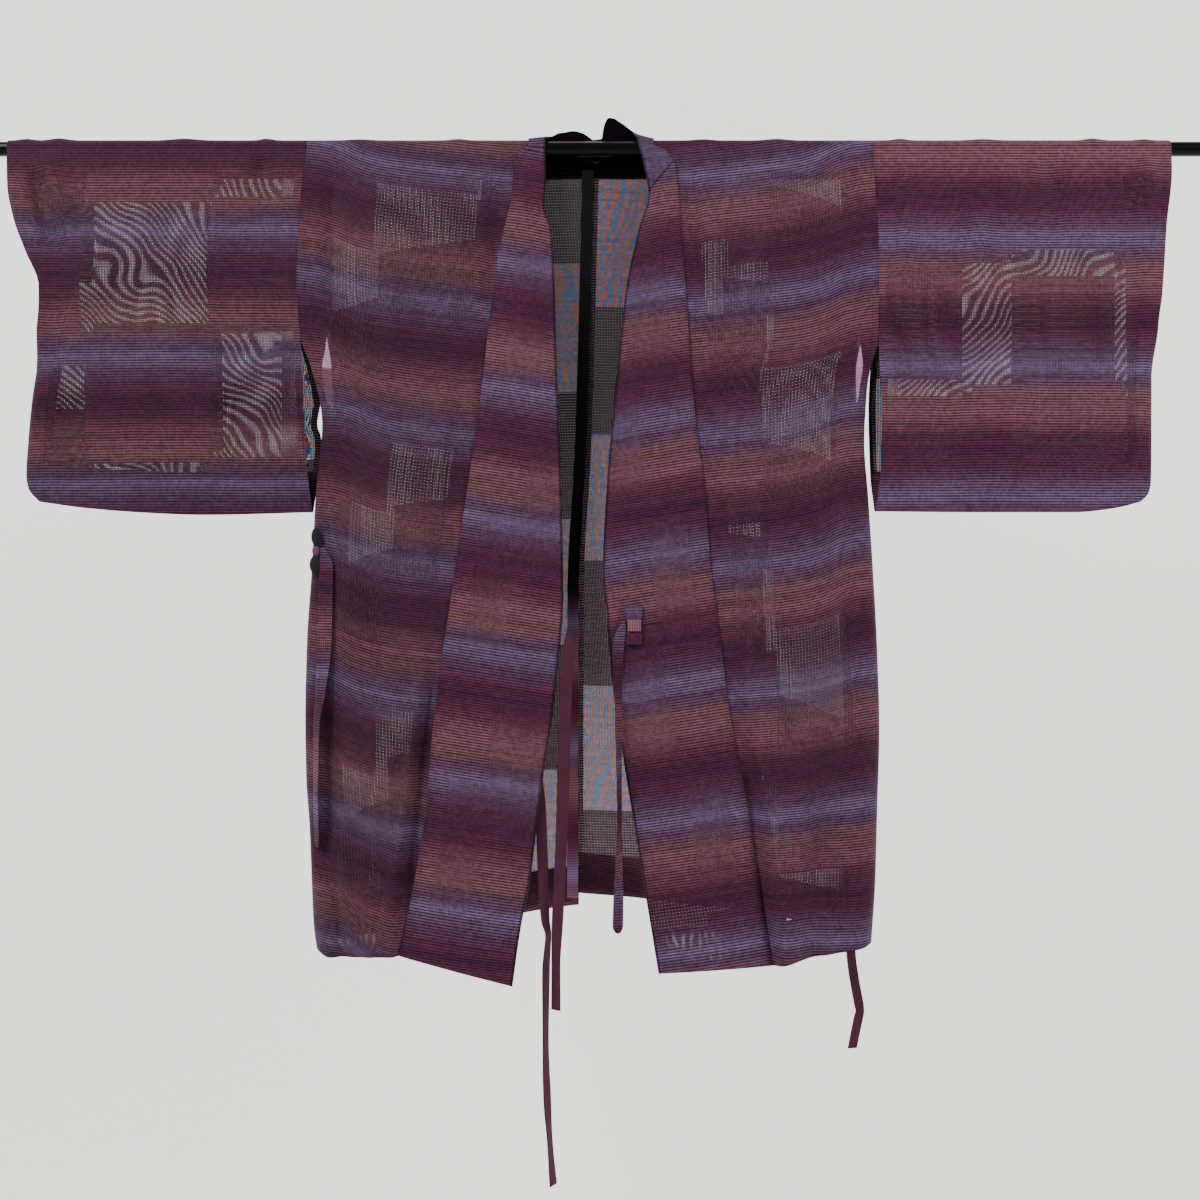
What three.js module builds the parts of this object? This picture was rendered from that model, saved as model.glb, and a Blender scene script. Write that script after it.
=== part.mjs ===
// A sheer kimono coat hung on a straight rod that goes through both sleeves.
// Millimetres, +Z up, the front of the coat faces -Y. The origin is on the rod's axis, midway
// between its ends. Right and left are the wearer's, so the right side is at -X.
import * as THREE from 'three';

// Driving dimensions
const ROD_RADIUS = 8;
const ROD_LENGTH = 1480;
const ROD_SIDES = 32;
const WALL = 1.6; // cloth
const COLLAR_WALL = 3; // doubled cloth
const TIE_WALL = 1.2;
const ROD_GAP = 0.6; // between the rod and the cloth over it
const SEAM_GAP = 0.3; // between pieces that are sewn to each other
const SEWN = WALL / 2 + SEAM_GAP / 2; // from the middle plane to a layer, where both are sewn
const OVER_ROD = ROD_RADIUS + ROD_GAP + WALL / 2; // radius of a layer's mid-surface over the rod
const ARMHOLE_END = -220; // where the sleeve stops being sewn to the body
const SIDE_SEAM_TOP = -350; // where the body's side seam starts, below the open side
const SIDE_ROUND = 110; // how far in from the side the body reaches its full depth
const SLEEVE_ROUND = 60; // how far in from its edges a sleeve reaches its full depth
const NECK_DROP = 12; // of the back neck seam below the rod's axis, at the centre back
const CENTRE_BACK = 5; // X of the centre back seam at the neck
const ALLOWANCE_WIDTH = 13;

// How many rows and columns each piece is made of
const FRONT_ROWS = 26;
const BACK_ROWS = 20;
const NECK_ROWS = 4;
const ARC_STEPS = 6;
const BODY_COLUMNS = 14;
const SIDE_CROWDING = 1.35; // how much closer together the columns are near the side
const COLLAR_COLUMNS = 5;
const SLEEVE_ROWS = 13;
const SLEEVE_COLUMNS = 11;

const MATERIALS = {
  cloth: new THREE.MeshStandardMaterial({ color: 0x4a3441, roughness: 0.75, metalness: 0 }),
  collar: new THREE.MeshStandardMaterial({ color: 0x46303e, roughness: 0.7, metalness: 0 }),
  tie: new THREE.MeshStandardMaterial({ color: 0x45222f, roughness: 0.7, metalness: 0 }),
  wrap: new THREE.MeshStandardMaterial({ color: 0x8f6a72, roughness: 0.7, metalness: 0 }),
  rod: new THREE.MeshStandardMaterial({ color: 0x0b0b0d, roughness: 0.3, metalness: 0.2 }),
};

// Half the distance from the front layer to the back one, where the sleeve meets the body
const ARMHOLE_DEPTH = [
  { z: 0, depth: OVER_ROD },
  { z: -60, depth: 13 },
  { z: -150, depth: 17 },
  { z: ARMHOLE_END, depth: 15 },
  { z: -290, depth: 6 },
  { z: SIDE_SEAM_TOP, depth: SEWN },
  { z: -1000, depth: SEWN },
];

// How far the full part of the front and of the back stands from the middle plane
const BODY_DEPTH = [
  { z: 0, front: OVER_ROD, back: OVER_ROD },
  { z: -50, front: 14, back: 15 },
  { z: -150, front: 20, back: 22 },
  { z: -300, front: 25, back: 30 },
  { z: -500, front: 31, back: 39 },
  { z: -700, front: 36, back: 46 },
  { z: -960, front: 41, back: 53 },
];

// Half the depth of a sleeve along its middle
const SLEEVE_DEPTH = [
  { z: 0, depth: OVER_ROD },
  { z: -60, depth: 13 },
  { z: -150, depth: 17 },
  { z: ARMHOLE_END, depth: 17 },
  { z: -300, depth: 15 },
  { z: -370, depth: 10 },
  { z: -402, depth: 4 },
  { z: -417, depth: SEWN },
];

const RIGHT = {
  // X of the body's side, of the collar seam and of the collar's inner edge
  side: [
    { z: 0, x: -321 },
    { z: -46, x: -326 },
    { z: -148, x: -331 },
    { z: ARMHOLE_END, x: -326 },
    { z: -250, x: -316 },
    { z: -311, x: -305 },
    { z: -380, x: -312 },
    { z: -486, x: -318 },
    { z: -560, x: -323 },
    { z: -650, x: -325 },
    { z: -714, x: -324 },
    { z: -771, x: -320 },
    { z: -885, x: -315 },
    { z: -913, x: -311 },
  ],
  seam: [
    { z: 0, x: -88 },
    { z: -29, x: -85 },
    { z: -132, x: -105 },
    { z: -290, x: -123 },
    { z: -458, x: -147 },
    { z: -680, x: -177 },
    { z: -744, x: -181 },
    { z: -799, x: -190 },
    { z: -906, x: -210 },
  ],
  inner: [
    { z: 0, x: -51 },
    { z: -39, x: -50 },
    { z: -73, x: -52 },
    { z: -93, x: -44 },
    { z: -139, x: -41 },
    { z: -236, x: -38 },
    { z: -380, x: -32.5 },
    { z: -514, x: -30 },
    { z: -598, x: -37 },
    { z: -651, x: -43 },
    { z: -715, x: -53 },
    { z: -831, x: -67.5 },
    { z: -873, x: -76 },
    { z: -942, x: -86 },
  ],
  // The front hem from the side (at 0) to the collar seam (at 1), then the collar's inner corner
  hem: [
    { at: 0, z: -909 },
    { at: 0.18, z: -916 },
    { at: 0.45, z: -914 },
    { at: 0.75, z: -908 },
    { at: 1, z: -906 },
  ],
  corner: -942,
  // The back hem from the side (at 0) to the centre back (at 1)
  backHem: [
    { at: 0, z: -909 },
    { at: 0.25, z: -904 },
    { at: 0.6, z: -889 },
    { at: 1, z: -874 },
  ],
  // The collar from the rod's front to the centre back: its seam and its folded edge
  neck: [
    { seam: [-88, -10.6, 0], edge: [-51, -10.8, 1] },
    { seam: [-88, -7.5, 7.5], edge: [-50, -8, 8.6] },
    { seam: [-88, 0, 10.6], edge: [-47, 1.5, 13] },
    { seam: [-88, 7.5, 7.5], edge: [-42, 8.5, 16.5] },
    { seam: [-80, 11, 0.3], edge: [-35, 12.5, 21] },
    { seam: [-62, 11.6, -2.6], edge: [-28, 14.5, 24.5] },
    { seam: [-38, 11.9, -5.6], edge: [-20, 15, 26] },
    { seam: [-15, 12.1, -8.6], edge: [-9, 15, 21] },
    { seam: [4.8, 12.2, -11.1], edge: [2.3, 14.6, 16] },
  ],
  folds: [
    { front: true, top: -640, x: -190, hemX: -222, rise: 9, width: 26 },
    { front: true, top: -250, x: -250, hemX: -268, rise: -6, width: 30 },
    { front: false, top: -150, x: -180, hemX: -205, rise: 10, width: 38 },
    { front: false, top: -330, x: -80, hemX: -92, rise: -8, width: 32 },
  ],
  sleeveOuter: [
    { z: 0, x: -661 },
    { z: -46, x: -659 },
    { z: -83, x: -651 },
    { z: -119, x: -637 },
    { z: -160, x: -621 },
    { z: -220, x: -626 },
    { z: -284, x: -636 },
    { z: -337, x: -641 },
    { z: -373, x: -643 },
    { z: -388, x: -640 },
    { z: -402, x: -628 },
  ],
  // X of the sleeve's inner edge below the armhole: the front layer and the back one
  sleeveFree: [
    { z: ARMHOLE_END, front: -326, back: -326 },
    { z: -250, front: -325, back: -321 },
    { z: -303, front: -322.6, back: -317 },
    { z: -368, front: -320, back: -316 },
    { z: -415, front: -316, back: -316 },
  ],
  // The sleeve's bottom from its outer edge (at 0) to its inner edge (at 1)
  sleeveBottom: [
    { at: 0, z: -402 },
    { at: 0.15, z: -408.5 },
    { at: 0.36, z: -414 },
    { at: 0.6, z: -417 },
    { at: 1, z: -414 },
  ],
  sleeveFolds: [
    { front: true, top: -90, x: -470, hemX: -455, rise: 6, width: 40 },
    { front: true, top: -60, x: -560, hemX: -575, rise: -4, width: 26 },
    { front: false, top: -70, x: -430, hemX: -420, rise: 6, width: 36 },
    { front: false, top: -120, x: -540, hemX: -560, rise: -5, width: 30 },
  ],
};

const LEFT = {
  side: [
    { z: 0, x: 320 },
    { z: -33, x: 321.5 },
    { z: -130, x: 325 },
    { z: ARMHOLE_END, x: 325 },
    { z: -250, x: 317 },
    { z: -280, x: 313.5 },
    { z: -328, x: 312 },
    { z: -400, x: 317 },
    { z: -486, x: 322.6 },
    { z: -571, x: 327 },
    { z: -657, x: 329.5 },
    { z: -756, x: 327 },
    { z: -828, x: 325 },
    { z: -905, x: 320 },
  ],
  seam: [
    { z: 0, x: 97 },
    { z: -52, x: 99 },
    { z: -150, x: 106 },
    { z: -290, x: 116 },
    { z: -335, x: 120.5 },
    { z: -390, x: 128 },
    { z: -478, x: 134.5 },
    { z: -533, x: 142 },
    { z: -625, x: 153 },
    { z: -713, x: 169 },
    { z: -773, x: 179 },
    { z: -840, x: 190 },
    { z: -909, x: 201 },
  ],
  inner: [
    { z: 0, x: 54 },
    { z: -39, x: 63 },
    { z: -56, x: 66 },
    { z: -95, x: 55 },
    { z: -160, x: 41 },
    { z: -204, x: 35.6 },
    { z: -269, x: 29 },
    { z: -380, x: 19 },
    { z: -490, x: 14 },
    { z: -523, x: 17.7 },
    { z: -600, x: 24 },
    { z: -695, x: 37.6 },
    { z: -746, x: 46 },
    { z: -838, x: 61 },
    { z: -929, x: 76 },
  ],
  hem: [
    { at: 0, z: -902 },
    { at: 0.12, z: -906 },
    { at: 0.4, z: -909 },
    { at: 0.7, z: -912 },
    { at: 1, z: -919 },
  ],
  corner: -929,
  backHem: [
    { at: 0, z: -902 },
    { at: 0.25, z: -893 },
    { at: 0.6, z: -872 },
    { at: 1, z: -860 },
  ],
  neck: [
    { seam: [97, -10.6, 0], edge: [54, -10.8, 1] },
    { seam: [97, -7.5, 7.5], edge: [52, -8, 11] },
    { seam: [97, 0, 10.6], edge: [49, 1.5, 18] },
    { seam: [97, 7.5, 7.5], edge: [44, 9, 25] },
    { seam: [88, 11, 0.3], edge: [36, 13.5, 34] },
    { seam: [68, 11.6, -2.6], edge: [27, 15, 41] },
    { seam: [44, 11.9, -5.6], edge: [19, 15.5, 42] },
    { seam: [22, 12.1, -8.6], edge: [10, 15.3, 30] },
    { seam: [5.4, 12.2, -11.1], edge: [2.9, 14.6, 16] },
  ],
  folds: [
    { front: true, top: -250, x: 128, hemX: 214, rise: 10, width: 30 },
    { front: true, top: -430, x: 240, hemX: 262, rise: -7, width: 30 },
    { front: false, top: -170, x: 190, hemX: 215, rise: 10, width: 38 },
    { front: false, top: -300, x: 84, hemX: 98, rise: -8, width: 32 },
  ],
  sleeveOuter: [
    { z: 0, x: 658 },
    { z: -24, x: 658 },
    { z: -92, x: 650 },
    { z: -172, x: 644 },
    { z: -204, x: 640 },
    { z: -348, x: 639.5 },
    { z: -380, x: 639 },
    { z: -393, x: 636 },
    { z: -402, x: 627 },
  ],
  sleeveFree: [
    { z: ARMHOLE_END, front: 325, back: 325 },
    { z: -250, front: 330, back: 322 },
    { z: -297, front: 335, back: 320 },
    { z: -373, front: 329.5, back: 321 },
    { z: -415, front: 324, back: 324 },
  ],
  sleeveBottom: [
    { at: 0, z: -402 },
    { at: 0.1, z: -409.5 },
    { at: 0.25, z: -414 },
    { at: 0.6, z: -414 },
    { at: 1, z: -413 },
  ],
  sleeveFolds: [
    { front: true, top: -80, x: 460, hemX: 450, rise: 6, width: 38 },
    { front: true, top: -110, x: 570, hemX: 580, rise: -5, width: 28 },
    { front: false, top: -60, x: 440, hemX: 425, rise: 6, width: 40 },
    { front: false, top: -130, x: 550, hemX: 565, rise: -5, width: 28 },
  ],
};

// X of the centre back seam
const BACK_SEAM = [
  { z: -NECK_DROP, x: CENTRE_BACK },
  { z: -330, x: -4 },
  { z: -500, x: -13 },
  { z: -900, x: -14 },
];

// Ties hang as flat strips: the middle of the strip, its width and how far it is turned from
// facing the front, in degrees.
const TIES = {
  tie_right_collar: [
    { x: -25, y: -27, z: -546, width: 13, turn: 0 },
    { x: -25, y: -27, z: -570, width: 13, turn: 5 },
    { x: -28, y: -28, z: -642, width: 14, turn: -8 },
    { x: -32.5, y: -30, z: -793, width: 13, turn: 12 },
    { x: -36, y: -31, z: -864, width: 13, turn: -10 },
    { x: -38, y: -31, z: -923, width: 12, turn: -35 },
    { x: -38, y: -31, z: -971, width: 12, turn: -30 },
  ],
  tie_right_inner: [
    { x: -62, y: -22, z: -690, width: 12, turn: 0 },
    { x: -55.5, y: -24, z: -776, width: 12, turn: 6 },
    { x: -52.7, y: -25, z: -820, width: 12, turn: 18 },
    { x: -48, y: -25, z: -874, width: 12, turn: 38 },
    { x: -48, y: -25, z: -950, width: 12, turn: 52 },
    { x: -48, y: -25, z: -1028, width: 12, turn: 55 },
    { x: -45, y: -25, z: -1120, width: 12, turn: 66 },
    { x: -40.5, y: -25, z: -1169, width: 12, turn: 55 },
  ],
  tie_left_inner: [
    { x: 296, y: 2, z: -596, width: 11, turn: 0 },
    { x: 296, y: 3, z: -700, width: 11, turn: 8 },
    { x: 295, y: 4, z: -810, width: 11, turn: -6 },
    { x: 298, y: 5, z: -914, width: 11, turn: 10 },
    { x: 308, y: 5, z: -982, width: 11, turn: -8 },
    { x: 300, y: 6, z: -1027, width: 11, turn: 10 },
  ],
};

// These two lie on a panel where they start: the strip's distance in front of it, then free.
const TIE_LEFT_COLLAR = [
  { x: 35, z: -541, width: 13, turn: 0 },
  { x: 31, z: -567, width: 13, turn: 10 },
  { x: 32, z: -598, width: 12, turn: 40 },
  { x: 32, z: -684, width: 12, turn: 55 },
  { x: 32.6, z: -747, width: 12, turn: 70 },
  { x: 31.5, z: -832, width: 12, turn: 50 },
  { x: 31, z: -880, width: 11, turn: 40 },
];
const TIE_RIGHT_SIDE = [
  { x: -298, z: -466, width: 9, turn: -12 },
  { x: -296, z: -478, width: 14, turn: -14 },
  { x: -297, z: -562, width: 15, turn: -14 },
  { x: -301, z: -615, width: 14, turn: -34 },
  { x: -307, z: -660, width: 13, turn: -58 },
  { x: -307, z: -739, width: 13, turn: -62 },
  { x: -306, z: -791, width: 13, turn: -56 },
];

const TAB = { x: 49, z: -542, width: 19, height: 43, wall: 3 };
const TAB_WRAP = { x: 49, z: -542, width: 12, height: 13, wall: 2.4 };
const KNOTS = {
  knot_right_upper: { x: -308, z: -443, size: [9, 7, 19], material: 'tie' },
  knot_right_lower: { x: -309, z: -474.5, size: [10, 7, 19], material: 'tie' },
  knot_right_wrap: { x: -308.5, z: -458.8, size: [7, 6, 11], material: 'wrap' },
};

// Numbers from tables

// The value of one column of a table where its key (z or at) has a given value, by a smooth curve
// through the rows that doesn't pass beyond them.
function valueAt(table, column, at, key = 'z') {
  const falling = table[0][key] > table[table.length - 1][key] ? -1 : 1;
  const place = (i) => falling * table[i][key];
  const last = table.length - 1;
  if (falling * at <= place(0)) return table[0][column];
  if (falling * at >= place(last)) return table[last][column];
  let i = 0;
  while (falling * at > place(i + 1)) i += 1;
  const step = place(i + 1) - place(i);
  const t = (falling * at - place(i)) / step;
  const slope = (k) => (table[k + 1][column] - table[k][column]) / (place(k + 1) - place(k));
  const tangent = (k) => {
    if (k === 0) return slope(0);
    if (k === last) return slope(last - 1);
    const before = slope(k - 1);
    const after = slope(k);
    return before * after <= 0 ? 0 : (2 * before * after) / (before + after);
  };
  const t2 = t * t;
  const t3 = t2 * t;
  return (2 * t3 - 3 * t2 + 1) * table[i][column]
    + (t3 - 2 * t2 + t) * step * tangent(i)
    + (3 * t2 - 2 * t3) * table[i + 1][column]
    + (t3 - t2) * step * tangent(i + 1);
}

// 0 at one value and 1 at another, which may be the lower, smooth in between
function smooth(from, to, value) {
  return THREE.MathUtils.smoothstep((value - from) / (to - from), 0, 1);
}
const { lerp } = THREE.MathUtils;

// 0 at an edge, 1 from a given distance in, round in between
function rounded(distance, reach) {
  const left = 1 - Math.min(1, Math.max(0, distance / reach));
  return Math.sqrt(1 - left * left);
}

// How far folds push a layer outwards at a point
function foldRise(folds, front, x, z, hemZ) {
  return folds
    .filter((fold) => fold.front === front && z < fold.top)
    .reduce((sum, fold) => {
      const down = (fold.top - z) / (fold.top - hemZ);
      const middle = lerp(fold.x, fold.hemX, down);
      const away = (x - middle) / fold.width;
      return sum + fold.rise * smooth(0, 1, down) * Math.exp(-away * away);
    }, 0);
}

// Solids

// A wall through a grid of points, with half of its thickness on each side.
function wallOver(grid, wall) {
  const rows = grid.length;
  const columns = grid[0].length;
  const ahead = new THREE.Vector3();
  const across = new THREE.Vector3();
  const normals = grid.map((row, i) => row.map((point, j) => {
    ahead.subVectors(grid[Math.min(i + 1, rows - 1)][j], grid[Math.max(i - 1, 0)][j]);
    across.subVectors(row[Math.min(j + 1, columns - 1)], row[Math.max(j - 1, 0)]);
    return new THREE.Vector3().crossVectors(across, ahead).normalize();
  }));
  const positions = [];
  for (const side of [0.5, -0.5]) {
    grid.forEach((row, i) => row.forEach((point, j) => {
      positions.push(...point.clone().addScaledVector(normals[i][j], side * wall).toArray());
    }));
  }
  const at = (layer, i, j) => layer * rows * columns + i * columns + j;
  const index = [];
  const quad = (a, b, c, d) => index.push(a, b, c, a, c, d);
  for (let i = 0; i < rows - 1; i += 1) {
    for (let j = 0; j < columns - 1; j += 1) {
      quad(at(0, i, j), at(0, i, j + 1), at(0, i + 1, j + 1), at(0, i + 1, j));
      quad(at(1, i, j), at(1, i + 1, j), at(1, i + 1, j + 1), at(1, i, j + 1));
    }
  }
  for (let j = 0; j < columns - 1; j += 1) {
    quad(at(0, 0, j + 1), at(0, 0, j), at(1, 0, j), at(1, 0, j + 1));
    const top = rows - 1;
    quad(at(0, top, j), at(0, top, j + 1), at(1, top, j + 1), at(1, top, j));
  }
  for (let i = 0; i < rows - 1; i += 1) {
    quad(at(0, i, 0), at(0, i + 1, 0), at(1, i + 1, 0), at(1, i, 0));
    const end = columns - 1;
    quad(at(0, i + 1, end), at(0, i, end), at(1, i, end), at(1, i + 1, end));
  }
  return facingOut(positions, index);
}

// A geometry whose faces all point out of it
function facingOut(positions, index) {
  const corner = (k) => new THREE.Vector3().fromArray(positions, 3 * index[k]);
  let volume = 0;
  for (let k = 0; k < index.length; k += 3) {
    volume += corner(k).dot(corner(k + 1).cross(corner(k + 2)));
  }
  if (volume < 0) index.reverse();
  const geometry = new THREE.BufferGeometry();
  geometry.setAttribute('position', new THREE.Float32BufferAttribute(positions, 3));
  geometry.setIndex(index);
  geometry.computeVertexNormals();
  return geometry;
}

// Evenly spaced shares from 0 to 1, closer together near 0 if the power is over 1
const shares = (count, power = 1) => (
  Array.from({ length: count }, (_, i) => (i / (count - 1)) ** power)
);

// Body: front, over the rod and back in one piece

const inward = (half) => Math.sign(half.side[0].x) * -1;

// Y of the body's front or back layer's mid-surface
function bodyY(half, front, x, z) {
  const edge = valueAt(ARMHOLE_DEPTH, 'depth', z);
  const full = valueAt(BODY_DEPTH, front ? 'front' : 'back', z);
  const distance = Math.abs(valueAt(half.side, 'x', z) - x);
  const rise = foldRise(half.folds, front, x, z, half.corner);
  const share = lerp(
    smooth(0, SIDE_ROUND, distance),
    rounded(distance, SIDE_ROUND),
    smooth(ARMHOLE_END, SIDE_SEAM_TOP, z),
  );
  const depth = edge + (full - edge + rise) * share;
  return front ? -depth : depth;
}

function bodyRow(half, front, innerX, zAt) {
  return shares(BODY_COLUMNS, SIDE_CROWDING).map((u) => {
    const z = zAt(u);
    const outerX = valueAt(half.side, 'x', z);
    const x = lerp(outerX, innerX(z), u);
    return new THREE.Vector3(x, bodyY(half, front, x, z), z);
  });
}

function overRodRow(outerX, innerX, columns, power, angle, radius) {
  return shares(columns, power).map((u) => new THREE.Vector3(
    lerp(outerX, innerX, u),
    -radius * Math.cos(angle),
    radius * Math.sin(angle),
  ));
}

const arcAngles = () => shares(ARC_STEPS + 1).slice(1, -1).map((share) => share * Math.PI);

function bodyGrid(half) {
  const toSeam = inward(half) * SEAM_GAP * 0.5;
  const seamX = (z) => valueAt(half.seam, 'x', z) - toSeam;
  const front = shares(FRONT_ROWS).map((v) => (
    bodyRow(half, true, seamX, (u) => lerp(valueAt(half.hem, 'z', u, 'at'), 0, v))
  ));
  const over = arcAngles().map((angle) => (
    overRodRow(half.side[0].x, seamX(0), BODY_COLUMNS, SIDE_CROWDING, angle, OVER_ROD)
  ));
  const neckX = (z) => lerp(seamX(0), CENTRE_BACK - toSeam, Math.min(1, -z / NECK_DROP));
  const neck = shares(NECK_ROWS + 1).map((v) => (
    bodyRow(half, false, neckX, () => lerp(0, -NECK_DROP, v))
  ));
  const backX = (z) => valueAt(BACK_SEAM, 'x', z) - toSeam;
  const back = shares(BACK_ROWS + 1).slice(1).map((v) => bodyRow(half, false, backX, (u) => (
    lerp(-NECK_DROP, valueAt(half.backHem, 'z', u, 'at'), v)
  )));
  return [...front, ...over, ...neck, ...back];
}

// Collar: from the front hem to the rod, then round the neck to the centre back

function collarY(half, seamX, x, z) {
  const edgeX = valueAt(half.inner, 'x', z);
  const u = Math.min(1, Math.abs((x - seamX) / (edgeX - seamX)));
  const arch = 3 * Math.sin(Math.PI * u) - 5 * u * smooth(0, -200, z);
  const doubled = (COLLAR_WALL - WALL) / 2 + SEAM_GAP;
  return bodyY(half, true, seamX, z) - doubled - arch * smooth(0, -60, z);
}

function collarGrid(half) {
  const toSeam = inward(half) * SEAM_GAP * 0.5;
  const front = shares(FRONT_ROWS).map((v) => shares(COLLAR_COLUMNS).map((u) => {
    const z = lerp(lerp(valueAt(half.hem, 'z', 1, 'at'), half.corner, u), 0, v);
    const seamX = valueAt(half.seam, 'x', z) + toSeam;
    const x = lerp(seamX, valueAt(half.inner, 'x', z), u);
    return new THREE.Vector3(x, collarY(half, seamX, x, z), z);
  }));
  const neck = half.neck.map((row) => shares(COLLAR_COLUMNS).map((u) => {
    const seam = new THREE.Vector3(...row.seam);
    seam.x += toSeam;
    return seam.lerp(new THREE.Vector3(...row.edge), u);
  }));
  return [...front.slice(0, -1), ...neck];
}

// Sleeve: front, over the rod and back in one piece

function sleeveY(half, front, x, z) {
  const outerX = valueAt(half.sleeveOuter, 'x', z);
  const full = valueAt(SLEEVE_DEPTH, 'depth', z);
  const sewnBelowCuff = smooth(ARMHOLE_END + 20, ARMHOLE_END - 40, z);
  const share = lerp(1, rounded(Math.abs(x - outerX), SLEEVE_ROUND), sewnBelowCuff);
  const fromSeam = Math.abs(x - valueAt(half.side, 'x', Math.max(z, ARMHOLE_END)));
  const rise = foldRise(half.sleeveFolds, front, x, z, -414)
    * smooth(0, SLEEVE_ROUND, fromSeam) * smooth(-417, -385, z);
  const armhole = valueAt(ARMHOLE_DEPTH, 'depth', Math.max(z, ARMHOLE_END));
  const atSeam = z > ARMHOLE_END ? armhole : Math.min(armhole, full);
  const depth = lerp(atSeam, full, smooth(0, SLEEVE_ROUND, fromSeam));
  const reach = SEWN + (depth + rise - SEWN) * share;
  return front ? -reach : reach;
}

function sleeveInner(half, front, z) {
  const toSeam = inward(half) * SEAM_GAP * 0.5;
  if (z > ARMHOLE_END) return valueAt(half.side, 'x', z) - toSeam - inward(half) * SEAM_GAP * 0.5;
  return valueAt(half.sleeveFree, front ? 'front' : 'back', z) - inward(half) * SEAM_GAP;
}

function sleeveRow(half, front, v) {
  return shares(SLEEVE_COLUMNS).map((u) => {
    const z = lerp(0, valueAt(half.sleeveBottom, 'z', u, 'at'), v);
    const outerX = valueAt(half.sleeveOuter, 'x', z);
    const x = lerp(outerX, sleeveInner(half, front, z), u);
    return new THREE.Vector3(x, sleeveY(half, front, x, z), z);
  });
}

function sleeveGrid(half) {
  const downward = shares(SLEEVE_ROWS);
  const front = [...downward].reverse().map((v) => sleeveRow(half, true, v));
  const over = arcAngles().map((angle) => overRodRow(
    half.sleeveOuter[0].x,
    sleeveInner(half, true, 0),
    SLEEVE_COLUMNS,
    1,
    angle,
    OVER_ROD,
  ));
  const back = downward.map((v) => sleeveRow(half, false, v));
  return [...front, ...over, ...back];
}

// Centre back: the turned allowance lies on the inside of the right back
function allowanceGrid() {
  const inside = WALL / 2 + 1 + TIE_WALL / 2;
  return shares(BACK_ROWS).map((v) => {
    const z = lerp(-NECK_DROP - 8, -866, v);
    const seamX = valueAt(BACK_SEAM, 'x', z);
    return [0, 1].map((u) => {
      const x = seamX - 1 - (1 - u) * ALLOWANCE_WIDTH;
      return new THREE.Vector3(x, bodyY(RIGHT, false, x, z) - inside, z);
    });
  });
}

// Ties

function stripGrid(path, place, rowsEach = 3) {
  const grid = [];
  const lengthwise = path.map((row, i) => ({ ...row, at: i }));
  const count = (path.length - 1) * rowsEach + 1;
  for (const share of shares(count)) {
    const at = share * (path.length - 1);
    const row = (column) => valueAt(lengthwise, column, at, 'at');
    const turn = THREE.MathUtils.degToRad(row('turn'));
    const middle = place(row);
    const half = new THREE.Vector3(Math.cos(turn), Math.sin(turn), 0)
      .multiplyScalar(row('width') / 2);
    grid.push([middle.clone().sub(half), middle.clone().add(half)]);
  }
  return grid;
}

function freeTie(path) {
  return stripGrid(path, (row) => new THREE.Vector3(row('x'), row('y'), row('z')));
}

// A tie in front of a layer, clear of it by the half width that its turn swings back
function tieInFront(path, layerY, wall) {
  return stripGrid(path, (row) => {
    const swing = Math.abs(Math.sin(THREE.MathUtils.degToRad(row('turn')))) * row('width') / 2;
    const clear = (wall + TIE_WALL) / 2 + 2 + swing;
    return new THREE.Vector3(row('x'), layerY(row('x'), row('z')) - clear, row('z'));
  });
}

function leftCollarY(x, z) {
  const seamX = valueAt(LEFT.seam, 'x', z);
  return collarY(LEFT, seamX, x, z);
}

// Fasteners

// A flat pad on the left collar
function padGrid(pad, lift) {
  return shares(5).map((v) => shares(4).map((u) => {
    const z = pad.z + (0.5 - v) * pad.height;
    const waist = pad === TAB ? 1 - 0.3 * Math.exp(-(((z - pad.z) / 8) ** 2)) : 1;
    const x = pad.x + (u - 0.5) * pad.width * waist;
    return new THREE.Vector3(x, leftCollarY(x, z) - lift, z);
  }));
}

function knotGeometry(knot) {
  const geometry = new THREE.IcosahedronGeometry(0.5, 1);
  geometry.deleteAttribute('normal');
  geometry.deleteAttribute('uv');
  const positions = [];
  const index = [];
  const seen = new Map();
  const source = geometry.getAttribute('position');
  for (let i = 0; i < source.count; i += 1) {
    const point = [source.getX(i), source.getY(i), source.getZ(i)];
    const name = point.map((value) => value.toFixed(4)).join();
    if (!seen.has(name)) {
      seen.set(name, positions.length / 3);
      positions.push(...point.map((value, axis) => value * knot.size[axis]));
    }
    index.push(seen.get(name));
  }
  return facingOut(positions, index);
}

function rodGeometry() {
  return new THREE.CylinderGeometry(ROD_RADIUS, ROD_RADIUS, ROD_LENGTH, ROD_SIDES);
}

// The coat

const coat = new THREE.Group();

function add(name, geometry, material) {
  const mesh = new THREE.Mesh(geometry, MATERIALS[material].clone());
  mesh.name = name;
  coat.add(mesh);
  return mesh;
}

for (const [name, half] of Object.entries({ right: RIGHT, left: LEFT })) {
  add(`body_${name}`, wallOver(bodyGrid(half), WALL), 'cloth');
  add(`collar_${name}`, wallOver(collarGrid(half), COLLAR_WALL), 'collar');
  add(`sleeve_${name}`, wallOver(sleeveGrid(half), WALL), 'cloth');
}
add('centre_back_allowance', wallOver(allowanceGrid(), TIE_WALL), 'cloth');
for (const [name, path] of Object.entries(TIES)) {
  add(name, wallOver(freeTie(path), TIE_WALL), 'tie');
}
add('tie_left_collar', wallOver(tieInFront(TIE_LEFT_COLLAR, leftCollarY, COLLAR_WALL), TIE_WALL), 'tie');
const rightFrontY = (x, z) => bodyY(RIGHT, true, x, z);
add('tie_right_side', wallOver(tieInFront(TIE_RIGHT_SIDE, rightFrontY, WALL), TIE_WALL), 'tie');

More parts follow.
